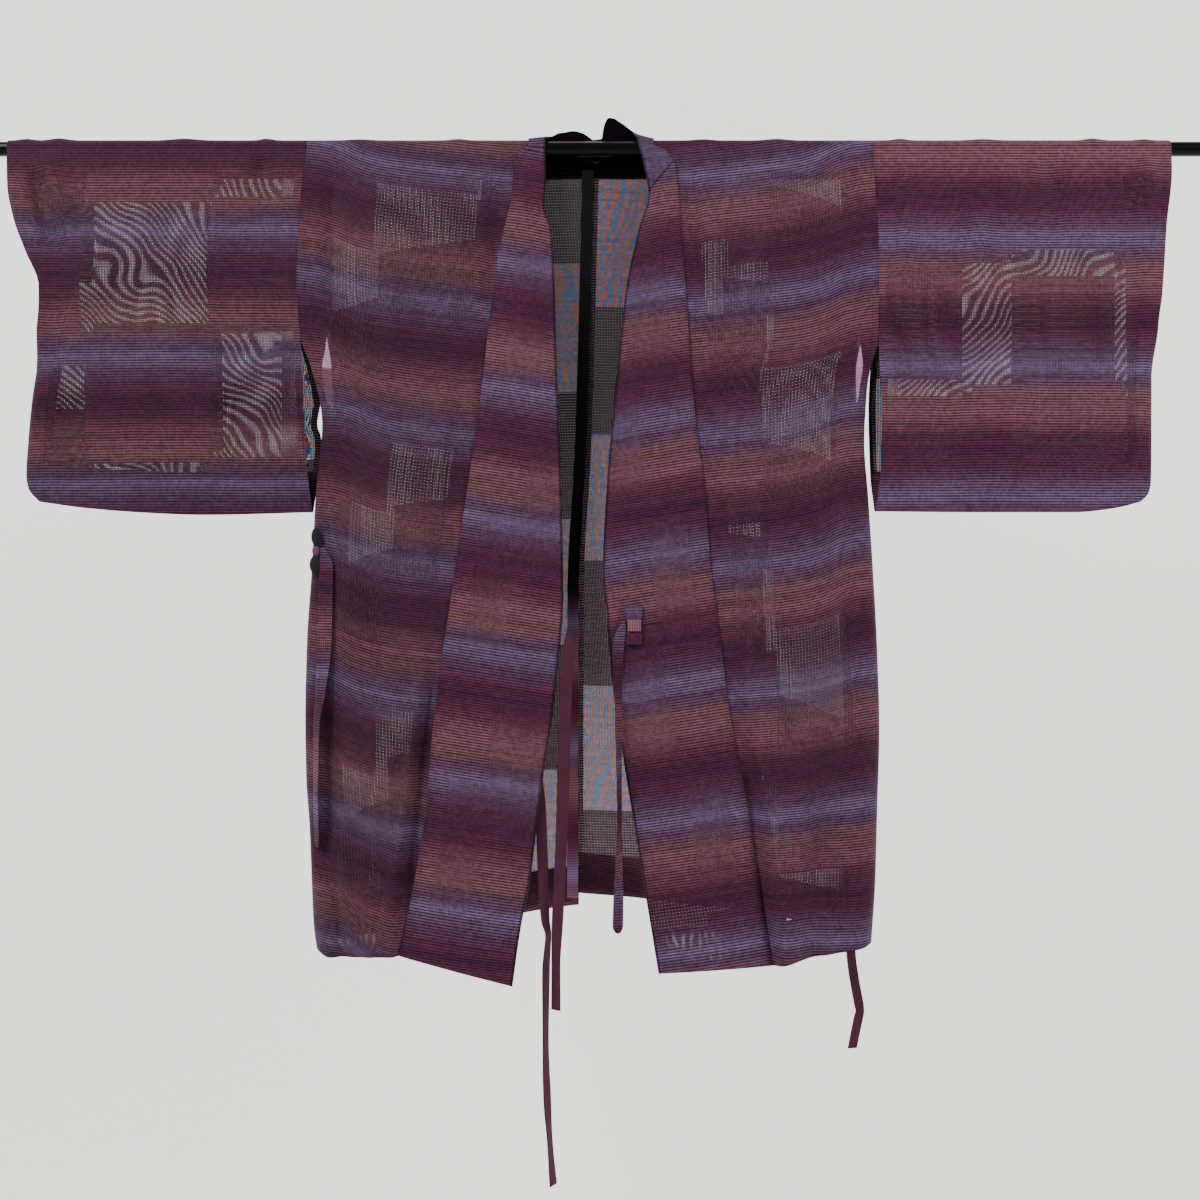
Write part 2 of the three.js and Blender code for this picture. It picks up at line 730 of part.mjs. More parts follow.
const tabLift = (COLLAR_WALL + TAB.wall) / 2 + SEAM_GAP;
add('tab_left', wallOver(padGrid(TAB, tabLift), TAB.wall), 'collar');
const wrapLift = tabLift + (TAB.wall + TAB_WRAP.wall) / 2 + SEAM_GAP;
add('tab_left_wrap', wallOver(padGrid(TAB_WRAP, wrapLift), TAB_WRAP.wall), 'wrap');
for (const [name, knot] of Object.entries(KNOTS)) {
  const mesh = add(name, knotGeometry(knot), knot.material);
  const clear = WALL / 2 + knot.size[1] / 2 + 1;
  mesh.position.set(knot.x, rightFrontY(knot.x + knot.size[0] / 2, knot.z) - clear, knot.z);
}
const rod = add('rod', rodGeometry(), 'rod');
rod.rotation.z = Math.PI / 2;

export default coat;
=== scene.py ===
"""A sheer kimono coat hung on a rod: the looks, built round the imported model.

Tables are in millimetres, as in the part's source; meshes are in metres. Right and left are the
wearer's, so the right side is at -X. The front faces -Y.
"""

import math

import bpy
import numpy as np
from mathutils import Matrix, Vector


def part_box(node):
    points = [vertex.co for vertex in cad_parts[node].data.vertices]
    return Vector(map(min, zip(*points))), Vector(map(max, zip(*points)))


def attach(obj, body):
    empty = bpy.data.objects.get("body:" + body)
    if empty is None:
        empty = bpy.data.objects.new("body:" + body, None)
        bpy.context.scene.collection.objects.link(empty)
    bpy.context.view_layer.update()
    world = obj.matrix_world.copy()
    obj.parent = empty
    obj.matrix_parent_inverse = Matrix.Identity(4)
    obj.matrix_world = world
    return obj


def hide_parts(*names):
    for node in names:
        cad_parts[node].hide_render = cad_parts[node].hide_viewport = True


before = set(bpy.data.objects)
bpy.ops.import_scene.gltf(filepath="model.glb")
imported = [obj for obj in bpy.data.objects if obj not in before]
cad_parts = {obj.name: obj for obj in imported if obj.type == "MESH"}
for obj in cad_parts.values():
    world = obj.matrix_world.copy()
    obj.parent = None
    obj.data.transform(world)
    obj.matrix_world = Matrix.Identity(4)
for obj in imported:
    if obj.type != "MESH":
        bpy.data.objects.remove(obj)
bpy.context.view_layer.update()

MM = 0.001

# ---------------------------------------------------------------- sizes, as in the part's source

WALL = 1.6
COLLAR_WALL = 3.0
TIE_WALL = 1.2
ROD_RADIUS = 8.0
ROD_GAP = 0.6
SEAM_GAP = 0.3
SEWN = 0.25  # from the middle of a sewn edge to either layer
OVER_ROD = ROD_RADIUS + ROD_GAP + WALL / 2
ARMHOLE_END = -220
SIDE_SEAM_TOP = -350
SIDE_ROUND = 110
SLEEVE_ROUND = 60
NECK_DROP = 12
CENTRE_BACK = 5


def table(columns, *rows):
    """A table as {column: array}, from a line of column names and one row for each place."""
    return {name: np.array(values, float) for name, values in zip(columns.split(), zip(*rows))}


ARMHOLE_DEPTH = table(
    "z depth", (0, OVER_ROD), (-60, 13), (-150, 17), (ARMHOLE_END, 15), (-290, 6),
    (SIDE_SEAM_TOP, SEWN), (-1000, SEWN),
)
BODY_DEPTH = table(
    "z front back", (0, OVER_ROD, OVER_ROD), (-50, 14, 15), (-150, 20, 22), (-300, 25, 30),
    (-500, 31, 39), (-700, 36, 46), (-960, 41, 53),
)
SLEEVE_DEPTH = table(
    "z depth", (0, OVER_ROD), (-60, 13), (-150, 17), (ARMHOLE_END, 17), (-300, 15), (-370, 10),
    (-402, 4), (-417, SEWN),
)
BACK_SEAM = table("z x", (-NECK_DROP, CENTRE_BACK), (-330, -4), (-500, -13), (-900, -14))

RIGHT = dict(
    toward=1,
    side=table(
        "z x", (0, -321), (-46, -326), (-148, -331), (ARMHOLE_END, -326), (-250, -316),
        (-311, -305), (-380, -312), (-486, -318), (-560, -323), (-650, -325), (-714, -324),
        (-771, -320), (-885, -315), (-913, -311),
    ),
    seam=table(
        "z x", (0, -70), (-8, -80), (-18, -87), (-40, -87), (-132, -105), (-290, -123),
        (-458, -147), (-680, -177), (-744, -181), (-799, -190), (-906, -210),
    ),
    inner=table(
        "z x", (0, -51), (-39, -50), (-73, -52), (-93, -44), (-139, -41), (-236, -38),
        (-380, -32.5), (-514, -30), (-598, -37), (-651, -43), (-715, -53), (-831, -67.5),
        (-873, -76), (-942, -86),
    ),
    hem=table("at z", (0, -909), (0.18, -916), (0.45, -914), (0.75, -908), (1, -906)),
    corner=-942,
    back_hem=table("at z", (0, -909), (0.25, -904), (0.6, -889), (1, -874)),
    neck=[
        ((-70, -10.6, 0), (-51, -10.8, 1)),
        ((-70, -7.5, 7.5), (-50, -8, 9.5)),
        ((-70, 0, 10.6), (-47, 1.5, 14)),
        ((-70, 7.5, 7.5), (-42, 8.5, 17)),
        ((-66, 11, 0.3), (-35, 12.5, 23)),
        ((-55, 11.6, -2.6), (-28, 14.5, 25)),
        ((-36, 11.9, -5.6), (-20, 15, 26.5)),
        ((-15, 12.1, -8.6), (-9, 15, 24)),
        ((5.1, 12.2, -11.1), (2.6, 14.6, 16)),
    ],
    folds=table(
        "front top x hem_x rise width edge", (1, -620, -190, -222, 13, 26, 1),
        (1, -250, -250, -268, -9, 30, 0), (0, -150, -180, -205, 10, 38, 0),
        (0, -330, -80, -92, -8, 32, 0),
    ),
    sleeve_outer=table(
        "z x", (0, -661), (-46, -659), (-83, -651), (-119, -637), (-160, -621), (-220, -626),
        (-284, -636), (-337, -641), (-373, -643), (-388, -640), (-402, -628),
    ),
    sleeve_free=table(
        "z front back", (ARMHOLE_END, -326, -326), (-250, -325, -318), (-290, -323.2, -311),
        (-300, -322.8, -313), (-312, -322.2, -314.5), (-327, -321.8, -309.5),
        (-340, -321.3, -308.5), (-368, -320, -311.5), (-415, -316, -316),
    ),
    sleeve_bottom=table(
        "at z", (0, -402), (0.15, -408.5), (0.36, -414), (0.6, -417), (1, -414),
    ),
    sleeve_folds=table(
        "front top x hem_x rise width edge", (1, -90, -470, -455, 6, 40, 0),
        (1, -60, -560, -575, -4, 26, 0), (0, -70, -430, -420, 6, 36, 0),
        (0, -120, -540, -560, -5, 30, 0),
    ),
)

LEFT = dict(
    toward=-1,
    side=table(
        "z x", (0, 320), (-33, 321.5), (-130, 325), (ARMHOLE_END, 325), (-250, 317), (-280, 313.5),
        (-328, 312), (-400, 317), (-486, 322.6), (-571, 327), (-657, 329.5), (-756, 327),
        (-828, 325), (-905, 320),
    ),
    seam=table(
        "z x", (0, 72), (-7, 83), (-16, 93), (-26, 97), (-52, 99), (-150, 106), (-290, 116),
        (-335, 120.5), (-390, 128), (-478, 134.5), (-533, 142), (-625, 153), (-713, 169),
        (-773, 179), (-840, 190), (-909, 201),
    ),
    inner=table(
        "z x", (0, 54), (-39, 63), (-56, 66), (-95, 55), (-160, 41), (-204, 35.6), (-269, 29),
        (-380, 19), (-490, 14), (-523, 17.7), (-600, 24), (-695, 37.6), (-746, 46), (-838, 61),
        (-929, 76),
    ),
    hem=table("at z", (0, -902), (0.12, -906), (0.4, -909), (0.7, -912), (1, -919)),
    corner=-929,
    back_hem=table("at z", (0, -902), (0.25, -893), (0.6, -872), (1, -860)),
    neck=[
        ((72, -10.6, 0), (54, -10.8, 1)),
        ((72, -7.5, 7.5), (52, -8, 11)),
        ((72, 0, 10.6), (49, 1.5, 18)),
        ((72, 7.5, 7.5), (44, 9, 25)),
        ((69, 11, 0.3), (36, 13.5, 34)),
        ((57, 11.6, -2.6), (27, 15, 41)),
        ((41, 11.9, -5.6), (21, 15.5, 42)),
        ((31, 12, -7.4), (15.3, 15.3, 32)),
        ((23, 12.1, -8.6), (12.6, 15.1, 17.5)),
        ((5.1, 12.2, -11.1), (2.6, 14.6, 16)),
    ],
    folds=table(
        "front top x hem_x rise width edge", (1, -250, 128, 214, 13, 30, -1),
        (1, -430, 240, 262, -10, 30, 0), (0, -170, 190, 215, 10, 38, 0),
        (0, -300, 84, 98, -8, 32, 0),
    ),
    sleeve_outer=table(
        "z x", (0, 658), (-24, 658), (-92, 650), (-172, 644), (-204, 640), (-348, 639.5),
        (-380, 639), (-393, 636), (-402, 627),
    ),
    sleeve_free=table(
        "z front back", (ARMHOLE_END, 325, 325), (-250, 326, 322), (-297, 328.5, 320),
        (-373, 328, 321), (-415, 324, 324),
    ),
    sleeve_bottom=table("at z", (0, -402), (0.1, -409.5), (0.25, -414), (0.6, -414), (1, -413)),
    sleeve_folds=table(
        "front top x hem_x rise width edge", (1, -80, 460, 450, 6, 38, 0),
        (1, -110, 570, 580, -5, 28, 0), (0, -60, 440, 425, 6, 40, 0),
        (0, -130, 550, 565, -5, 28, 0),
    ),
)

# The middle of each tie, its width and its turn from facing the front, in degrees
TIE_RIGHT_COLLAR = table(
    "x y z width turn", (-25, -27, -546, 2, 0), (-24, -27, -558, 9, 3), (-25, -27, -570, 13, 5),
    (-28, -28, -642, 14, -8), (-32.5, -30, -793, 13, 12), (-36, -31, -864, 13, -10),
    (-38, -31, -923, 12, -35), (-38, -31, -971, 12, -30),
)
TIE_RIGHT_INNER = table(
    "x y z width turn", (-62, -22, -690, 12, 0), (-55.6, -24, -751, 12, 0),
    (-52.7, -25, -820, 12, 10), (-50, -25, -872, 11, 35), (-46.8, -25, -890, 11, 58),
    (-49.3, -25, -930, 12, 50), (-49.7, -25, -1005, 11, 57), (-48, -25, -1071, 12, 50),
    (-45, -25, -1120, 11, 62), (-41.2, -25, -1169, 12, 52),
)
TIE_LEFT_INNER = table(
    "x y z width turn", (296, 2, -596, 11, 0), (296, 3, -700, 11, 8), (295, 4, -810, 11, -6),
    (298, 5, -914, 11, 10), (307, 5, -975, 11, -6), (308.3, 5, -984, 10, 0),
    (306.6, 5.3, -993, 11, 4), (300, 6, -1027, 11, 10),
)
TIE_LEFT_COLLAR = table(
    "x z width turn", (38, -537, 4, 0), (34.5, -549, 10, 0), (31.5, -562, 13.5, 5),
    (31, -598, 12, 40), (32, -684, 12, 60), (32.6, -747, 12, 68), (32, -815, 12, 46),
    (31.5, -850, 12, 20), (31, -876, 12, 14), (31, -882, 9, 12), (31, -885, 4, 12),
)
TIE_RIGHT_SIDE = table(
    "x z width turn", (-301, -454, 4, -8), (-297.5, -466, 12, -10), (-296, -478, 16, -12),
    (-297, -562, 17, -14), (-301, -615, 15, -34), (-306, -660, 14, -52), (-307, -739, 13, -56),
    (-306, -783, 11, -52), (-306, -791, 7, -50),
)
# Small creases: from the top place to the low place, outwards where the rise is above 0
CREASES = "front x z low_x low_z rise width"
RIGHT["creases"] = table(
    CREASES, (1, -292, -8, -295, -225, -2.5, 8), (1, -279, -240, -271, -480, 3, 14),
    (1, -96, -14, -122, -220, -4, 9), (1, -141, -225, -170, -520, -3, 8),
    (1, -296, -600, -294, -820, -4, 12),
    (1, -168, -540, -213, -905, -4.5, 7), (1, -182, -560, -227, -905, 3, 7),
    (1, -245, -820, -243, -960, 3, 11), (1, -283, -835, -277, -960, -3, 9),
    (1, -215, -60, -228, -300, 2, 22), (1, -236, -420, -246, -640, -2.5, 16),
    (0, -285, -30, -292, -330, -3, 12), (0, -232, -60, -246, -420, 3, 20),
    (0, -120, -90, -142, -520, -4, 16), (0, -60, -240, -74, -700, 4, 18),
    (0, -196, -480, -214, -960, 5, 18), (0, -268, -560, -262, -960, -4, 14),
    (0, -128, -620, -120, -960, -4, 15),
)
LEFT["creases"] = table(
    CREASES, (1, 294, -8, 299, -225, -2.5, 8), (1, 113, -14, 126, -200, -4, 9),
    (1, 239, -220, 246, -480, 3, 16), (1, 194, -460, 207, -680, 3, 12),
    (1, 172, -640, 207, -960, -6, 9), (1, 282, -680, 252, -830, -4, 17),
    (1, 188, -70, 196, -300, 2, 20), (1, 232, -640, 240, -860, 3, 14),
    (1, 300, -420, 296, -640, -2.5, 12), (1, 262, -860, 268, -960, 2.5, 12),
    (0, 284, -30, 292, -330, -3, 12), (0, 226, -60, 240, -420, 3, 20),
    (0, 112, -90, 130, -520, -4, 16), (0, 52, -240, 60, -700, 4, 18),
    (0, 200, -480, 216, -960, 5, 18), (0, 270, -560, 262, -960, -4, 14),
    (0, 132, -620, 124, -960, -4, 15),
)
RIGHT["sleeve_creases"] = table(
    CREASES, (1, -624, 0, -582, -90, 5, 13), (1, -636, -20, -600, -130, -5, 12),
    (1, -606, -160, -612, -260, -3, 14), (1, -336, -10, -334, -190, 2.5, 8),
    (1, -380, 0, -362, -70, -4, 9), (1, -440, -60, -446, -230, 2, 20),
    (1, -520, -250, -505, -400, 2.5, 18), (1, -402, -260, -396, -400, -2.5, 14),
    (0, -600, 0, -575, -140, 4, 16), (0, -500, -40, -510, -300, -3, 20),
    (0, -400, -20, -410, -250, 3, 18), (0, -560, -220, -570, -400, -3, 16),
    (0, -440, -240, -430, -400, 3, 18),
)
LEFT["sleeve_creases"] = table(
    CREASES, (1, 357, -6, 352, -220, 2.5, 10), (1, 604, -80, 614, -310, -3, 12),
    (1, 440, -30, 436, -190, 3, 14), (1, 514, 0, 524, -120, -2.5, 14),
    (1, 632, 0, 622, -90, 3, 11), (1, 480, -230, 474, -400, 2.5, 20),
    (1, 400, -250, 404, -400, -2.5, 14), (1, 560, -260, 556, -400, 2, 16),
    (0, 600, 0, 585, -140, 4, 16), (0, 500, -40, 505, -300, -3, 20),
    (0, 400, -20, 410, -250, 3, 18), (0, 560, -220, 570, -400, -3, 16),
    (0, 440, -240, 430, -400, 3, 18),
)
CREASE_GAIN = 2.0  # the creases are this much deeper than their rows' rise
# Soft bumps of the cloth's top edge over the rod
TOP_BUMPS = table(
    "x rise width", (-641, 2, 9), (-604, 2.6, 12), (-462, 2.2, 18), (-368, 2.4, 8),
    (-262, 1.4, 16), (-150, 1.8, 10), (128, 1.5, 12), (212, 1.9, 15), (352, 2.2, 9),
    (446, 1.6, 18), (571, 2.4, 11), (629, 1.5, 9),
)
TAB = dict(x=49, z=-542, width=19, height=43, wall=3, blue_at=165)
TAB_WRAP = dict(x=49, z=-542, width=15, height=13, wall=2.4, blue_at=0)

# ---------------------------------------------------------------- numbers


def value_at(rows, column, at, key="z"):
    """A column where the key has the values in at, by a smooth curve that doesn't overshoot."""
    keys = rows[key]
    values = rows[column]
    if keys[0] > keys[-1]:
        keys, at = -keys, -np.asarray(at, float)
    at = np.clip(np.asarray(at, float), keys[0], keys[-1])
    step = np.diff(keys)
    slope = np.diff(values) / step
    tangent = np.empty_like(values)
    tangent[0], tangent[-1] = slope[0], slope[-1]
    product = slope[:-1] * slope[1:]
    total = slope[:-1] + slope[1:]
    tangent[1:-1] = np.where(product > 0, 2 * product / np.where(product > 0, total, 1), 0)
    i = np.clip(np.searchsorted(keys, at, side="right") - 1, 0, len(step) - 1)
    t = (at - keys[i]) / step[i]
    return (
        (2 * t**3 - 3 * t**2 + 1) * values[i]
        + (t**3 - 2 * t**2 + t) * step[i] * tangent[i]
        + (3 * t**2 - 2 * t**3) * values[i + 1]
        + (t**3 - t**2) * step[i] * tangent[i + 1]
    )


def smooth(start, end, value):
    """0 at start and 1 at end, smooth in between."""
    t = np.clip((np.asarray(value, float) - start) / (end - start), 0, 1)
    return t * t * (3 - 2 * t)


def mix(a, b, t):
    return a + (b - a) * t


def columns(*values):
    """Arrays of one shape, or that stretch to one, side by side as coordinates."""
    return np.stack(np.broadcast_arrays(*values), -1)


def rounded(distance, reach):
    """0 at an edge, 1 from a given distance in, round in between."""
    left = 1 - np.clip(distance / reach, 0, 1)
    return np.sqrt(1 - left * left)


def x_at(half, line, z):
    """X of one of the half's lines at a height."""
    return value_at(half[line], "x", z)


def fold_rise(folds, front, x, z, hem_z):
    """How far the large folds push a layer outwards."""
    total = np.zeros(np.broadcast(x, z).shape)
    for i in np.flatnonzero(folds["front"] == front):
        top, rise, width = folds["top"][i], folds["rise"][i], folds["width"][i]
        down = np.clip((top - z) / (top - hem_z), 0, None)
        away = (x - mix(folds["x"][i], folds["hem_x"][i], down)) / width
        away = away * np.where(away * folds["edge"][i] > 0, 2.8, 1)
        total += rise * smooth(0, 1, down) * np.exp(-away * away)
    return total


def crease_rise(creases, front, x, z):
    """How far the small creases and the cloth's unevenness push a layer outwards."""
    total = 0.5 * np.sin(x / 17 + z / 61) * np.sin(z / 29 - x / 83 + 2 * front)
    for i in np.flatnonzero(creases["front"] == front):
        row = {name: values[i] for name, values in creases.items()}
        down = (row["z"] - z) / (row["z"] - row["low_z"])
        ends = smooth(0, 0.3, down) * smooth(1, 0.75, down)
        away = (x - mix(row["x"], row["low_x"], np.clip(down, 0, 1))) / row["width"]
        total = total + CREASE_GAIN * row["rise"] * ends * np.exp(-away * away)
    return total


def over_rod_rise(x):
    """How far the cloth stands up in soft bumps where it goes over the rod."""
    away = (np.asarray(x)[..., None] - TOP_BUMPS["x"]) / TOP_BUMPS["width"]
    return (TOP_BUMPS["rise"] * np.exp(-away * away)).sum(-1)


# ---------------------------------------------------------------- the cloth's form, in millimetres


def body_y(half, front, x, z):
    """Y of the body's front or back layer."""
    edge = value_at(ARMHOLE_DEPTH, "depth", z)
    full = value_at(BODY_DEPTH, "front" if front else "back", z)
    distance = np.abs(x_at(half, "side", z) - x)
    rise = fold_rise(half["folds"], front, x, z, half["corner"])
    share = mix(
        smooth(0, SIDE_ROUND, distance),
        rounded(distance, SIDE_ROUND),
        smooth(ARMHOLE_END, SIDE_SEAM_TOP, z),
    )
    small = crease_rise(half["creases"], front, x, z) * smooth(2, 24, distance)
    depth = edge + (full - edge + rise) * share + small * smooth(0, -40, z)
    return -depth if front else depth


def collar_y(half, x, z):
    """Y of the collar's middle on the front."""
    seam_x = x_at(half, "seam", z)
    edge_x = x_at(half, "inner", z)
    u = np.clip((x - seam_x) / (edge_x - seam_x), 0, 1)
    arch = 3 * np.sin(np.pi * u) - 5 * u * smooth(0, -200, z)
    doubled = (COLLAR_WALL - WALL) / 2 + SEAM_GAP
    return body_y(half, True, seam_x, z) - doubled - arch * smooth(0, -60, z)


def sleeve_y(half, front, x, z):
    """Y of the sleeve's front or back layer."""
    outer_x = x_at(half, "sleeve_outer", z)
    full = value_at(SLEEVE_DEPTH, "depth", z)
    sewn = smooth(ARMHOLE_END + 20, ARMHOLE_END - 40, z)
    share = mix(1, rounded(np.abs(x - outer_x), SLEEVE_ROUND), sewn)
    beside = np.maximum(z, ARMHOLE_END)
    from_seam = np.abs(x - x_at(half, "side", beside))
    rise = fold_rise(half["sleeve_folds"], front, x, z, -414)
    rise = rise * smooth(0, SLEEVE_ROUND, from_seam) * smooth(-417, -385, z)
    armhole = value_at(ARMHOLE_DEPTH, "depth", beside)
    at_seam = np.where(z > ARMHOLE_END, armhole, np.minimum(armhole, full))
    depth = mix(at_seam, full, smooth(0, SLEEVE_ROUND, from_seam))
    small = crease_rise(half["sleeve_creases"], front, x, z) * smooth(0, -25, z)
    small = small * smooth(0, 24, from_seam) * smooth(-417, -385, z)
    reach = SEWN + (depth + rise + small - SEWN) * share
    return -reach if front else reach


def sleeve_inner(half, front, z):
    """X of the sleeve's edge at the body."""
    gap = half["toward"] * SEAM_GAP
    sewn = x_at(half, "side", z) - gap
    free = value_at(half["sleeve_free"], "front" if front else "back", z) - gap
    return np.where(z > ARMHOLE_END, sewn, free)


# ---------------------------------------------------------------- cloth coordinates and grids

HEM_TURN = 47  # of the cloth turned up inside at the hem
HEM_GAP = 1.1
# How far the back's side edge is drawn in where the armhole and side seam leave it free
DRAWN_IN = {
    1: table("z in", (0, 0), (-180, 0), (-200, 25), (-207, 27.3), (-230, 23.3), (-250, 18.5),
             (-290, 12.5), (-300, 6), (-310, 0), (-1000, 0)),
    -1: table("z in", (0, 0), (-180, 0), (-205, 16), (-217, 17.2), (-233, 13.6), (-253, 11.3),
              (-288, 10), (-300, 0), (-1000, 0)),
}
# How much narrower the close band beside the side is there
BAND_IN = {
    1: table("z in", (0, 0), (-190, 0), (-207, -10), (-230, -3), (-250, 8.8), (-290, 14),
             (-305, 0), (-1000, 0)),
    -1: table("z in", (0, 0), (-200, 0), (-217, -0.9), (-233, 5.6), (-253, 13.3), (-288, 12),
              (-300, 0), (-1000, 0)),
}
ARC = np.linspace(0, math.pi, 9)[1:-1]
ARC_LENGTH = math.pi * OVER_ROD / 2

FLAP_HIGH = (95, -16)  # the two ends of the flap's fold, as x and z
FLAP_LOW = (67, -52)
NOT_TURNED = -100
FAR = 900  # stands for the distance from an edge that isn't near
BESIDE_BACK_SEAM = 17  # the back's close band beside its seam is narrower by this
BESIDE_SLEEVE_SEAM = 14
COLLAR_SLANT = 0.16  # of the collar's stripes
ALLOWANCE = 13
KNOT_PUFF = (1.25, 1.1, 1.12)  # the soft knot's size to its solid's

# How far the front's cloth has slid forward, by its distance from the side
SLIDE = table(
    "at slide", (0, 0), (23, 3), (40, 8), (57, 16), (74, 22), (91, 26), (125, 31), (160, 35),
    (240, 43), (330, 46),
)
# The share of that slide that is left lower down
SLIDE_RIGHT = table("z share", (0, 1), (-1000, 1))
SLIDE_LEFT = table("z share", (0, 1), (-500, 0.95), (-600, 0.8), (-720, 0.5), (-860, -0.1))


def slide(half, x, z):
    rows = SLIDE_RIGHT if half is RIGHT else SLIDE_LEFT
    distance = np.abs(x_at(half, "side", z) - x)
    return value_at(SLIDE, "slide", distance, "at") * value_at(rows, "share", z)


def body_sheet(half):
    """The body as a grid and its maps, rows from the front hem over the rod to the back hem."""
    u = np.linspace(0, 1, 49) ** 1.2
    seam_top = x_at(half, "seam", 0)
    rows, cloth, edge = [], [], []

    def add(x, y, z, along, to_hem, inner, beside=0.0, slid_at=0.0):
        side = np.abs(x_at(half, "side", z) - x)
        narrower = value_at(BAND_IN[half["toward"]], "in", z)
        to_side = np.minimum(side + narrower, np.abs(inner - x) + beside)
        rows.append(columns(x, y, z))
        cloth.append(columns(side, along - slide(half, x, slid_at)))
        edge.append(columns(to_hem, to_side))

    def layer(front, z, hem, inner, up=0.0, drawn=0.0, beside=0.0):
        """A row of the front or back, or of its hem where up is how far that is turned up."""
        x = mix(x_at(half, "side", z) + drawn, inner, u)
        outward = -1 if front else 1
        y = body_y(half, front, x, z) - outward * HEM_GAP * smooth(0, 4, up)
        along = outward * (z - ARC_LENGTH - 2 * up)
        add(x, y, z, along, z - hem, inner, beside, z if front else 0 * z)

    hem = value_at(half["hem"], "z", u, "at")
    for up in np.linspace(HEM_TURN, 0, 8):
        layer(True, hem + up, hem, x_at(half, "seam", hem + up), up)
    for v in np.linspace(0, 1, 132)[1:]:
        z = mix(hem, 0, v)
        layer(True, z, hem, x_at(half, "seam", z))
    for angle in ARC:
        x = mix(half["side"]["x"][0], seam_top, u)
        z = (OVER_ROD + over_rod_rise(x)) * math.sin(angle)
        y = np.full_like(u, -OVER_ROD * math.cos(angle))
        add(x, y, z, OVER_ROD * (math.pi / 2 - angle), FAR, seam_top, slid_at=0 * z)
    hem = value_at(half["back_hem"], "z", u, "at")
    for v in np.linspace(0, 1, 5):
        layer(False, np.full_like(u, -NECK_DROP * v), hem, mix(seam_top, CENTRE_BACK, v))
    for v in np.linspace(0, 1, 125)[1:]:
        z = mix(-NECK_DROP, hem, v)
        drawn = half["toward"] * value_at(DRAWN_IN[half["toward"]], "in", z)
        layer(False, z, hem, value_at(BACK_SEAM, "x", z), 0, drawn, BESIDE_BACK_SEAM)
    for up in np.linspace(0, HEM_TURN, 8)[1:]:
        layer(False, hem + up, hem, value_at(BACK_SEAM, "x", hem + up), up)
    return np.array(rows), dict(cloth=np.array(cloth), edge=np.array(edge))


def beyond_fold(half, x, z):
    """How far a place is inside the corner that is turned out at the left of the neck."""
    if half is RIGHT:
        return 0 * x + NOT_TURNED
    beyond = ((FLAP_HIGH[0] - x) * (FLAP_HIGH[1] - FLAP_LOW[1])
              - (FLAP_HIGH[1] - z) * (FLAP_HIGH[0] - FLAP_LOW[0]))
    return beyond / math.dist(FLAP_HIGH, FLAP_LOW)


def flap(half, x, z):
    """How far the turned-out corner stands forward."""
    beyond = beyond_fold(half, x, z)
    return (np.clip(beyond, 0, 26) * 0.3 + 1.6 * smooth(-1, 1.5, beyond)) * smooth(0, -12, z)


def collar_sheet(half):
    """The collar's middle as a grid, rows from the hem to the centre back."""
    u = np.linspace(0, 1, 15)
    hem = mix(half["hem"]["z"][-1], half["corner"], u)
    rows, cloth, edge, turned = [], [], [], []
    for v in np.linspace(0, 1, 133)[:-1]:
        z = mix(hem, 0, v)
        seam_x = x_at(half, "seam", z)
        x = mix(seam_x, x_at(half, "inner", z), u)
        across = np.abs(x - seam_x)
        rows.append(columns(x, collar_y(half, x, z) - flap(half, x, z), z))
        cloth.append(columns(across, -z - COLLAR_SLANT * across))
        edge.append(columns(z - hem, across))
        turned.append(columns(beyond_fold(half, x, z), np.abs(x - x[-1])))
    neck = np.array(half["neck"], float)
    places = np.linspace(0, len(neck) - 1, 33)
    index = dict(at=np.arange(len(neck), dtype=float))
    curve = np.stack(
        [
            [value_at({**index, "v": neck[:, end, axis]}, "v", places, "at") for axis in range(3)]
            for end in range(2)
        ]
    )
    length = 0.0
    for k in range(len(places)):
        start, end = curve[0, :, k].copy(), curve[1, :, k]
        row = mix(start, end, u[:, None])
        if k:
            length += np.linalg.norm(row.mean(0) - rows[-1].mean(0))
        across = u * np.linalg.norm(end - start)
        rows.append(row)
        cloth.append(columns(across, -length))
        edge.append(columns(FAR, across))
        turned.append(columns(NOT_TURNED if half is RIGHT else 10, across[-1] - across))
    return np.array(rows), dict(cloth=np.array(cloth), edge=np.array(edge), turned=np.array(turned))


def sleeve_sheet(half):
    """The sleeve as a grid, rows from the bottom in front, over the rod, to the bottom behind."""
    u = np.linspace(0, 1, 49)
    bottom = value_at(half["sleeve_bottom"], "z", u, "at")
    rows, cloth, edge = [], [], []

    def add(x, y, z, along):
        side = np.abs(x_at(half, "side", np.maximum(z, ARMHOLE_END)) - x)
        outer = np.abs(x_at(half, "sleeve_outer", z) - x)
        inner = np.abs(x - x[-1]) + BESIDE_SLEEVE_SEAM
        rows.append(columns(x, y, z))
        cloth.append(columns(side, along))
        edge.append(columns(z - bottom, np.minimum(inner, outer)))

    def layer(front, v):
        z = mix(0, bottom, v)
        inner = sleeve_inner(half, front, z)
        x = mix(x_at(half, "sleeve_outer", z), inner, u)
        add(x, sleeve_y(half, front, x, z), z, (ARC_LENGTH - z) * (1 if front else -1))

    down = 1 - (1 - np.linspace(0, 1, 61)) ** 1.15
    for v in down[::-1]:
        layer(True, v)
    for angle in ARC:
        x = mix(half["sleeve_outer"]["x"][0], sleeve_inner(half, True, np.zeros(1))[0], u)
        z = (OVER_ROD + over_rod_rise(x)) * math.sin(angle)
        y = np.full_like(u, -OVER_ROD * math.cos(angle))
        add(x, y, z, OVER_ROD * (math.pi / 2 - angle))
    for v in down:
        layer(False, v)
    return np.array(rows), dict(cloth=np.array(cloth), edge=np.array(edge))


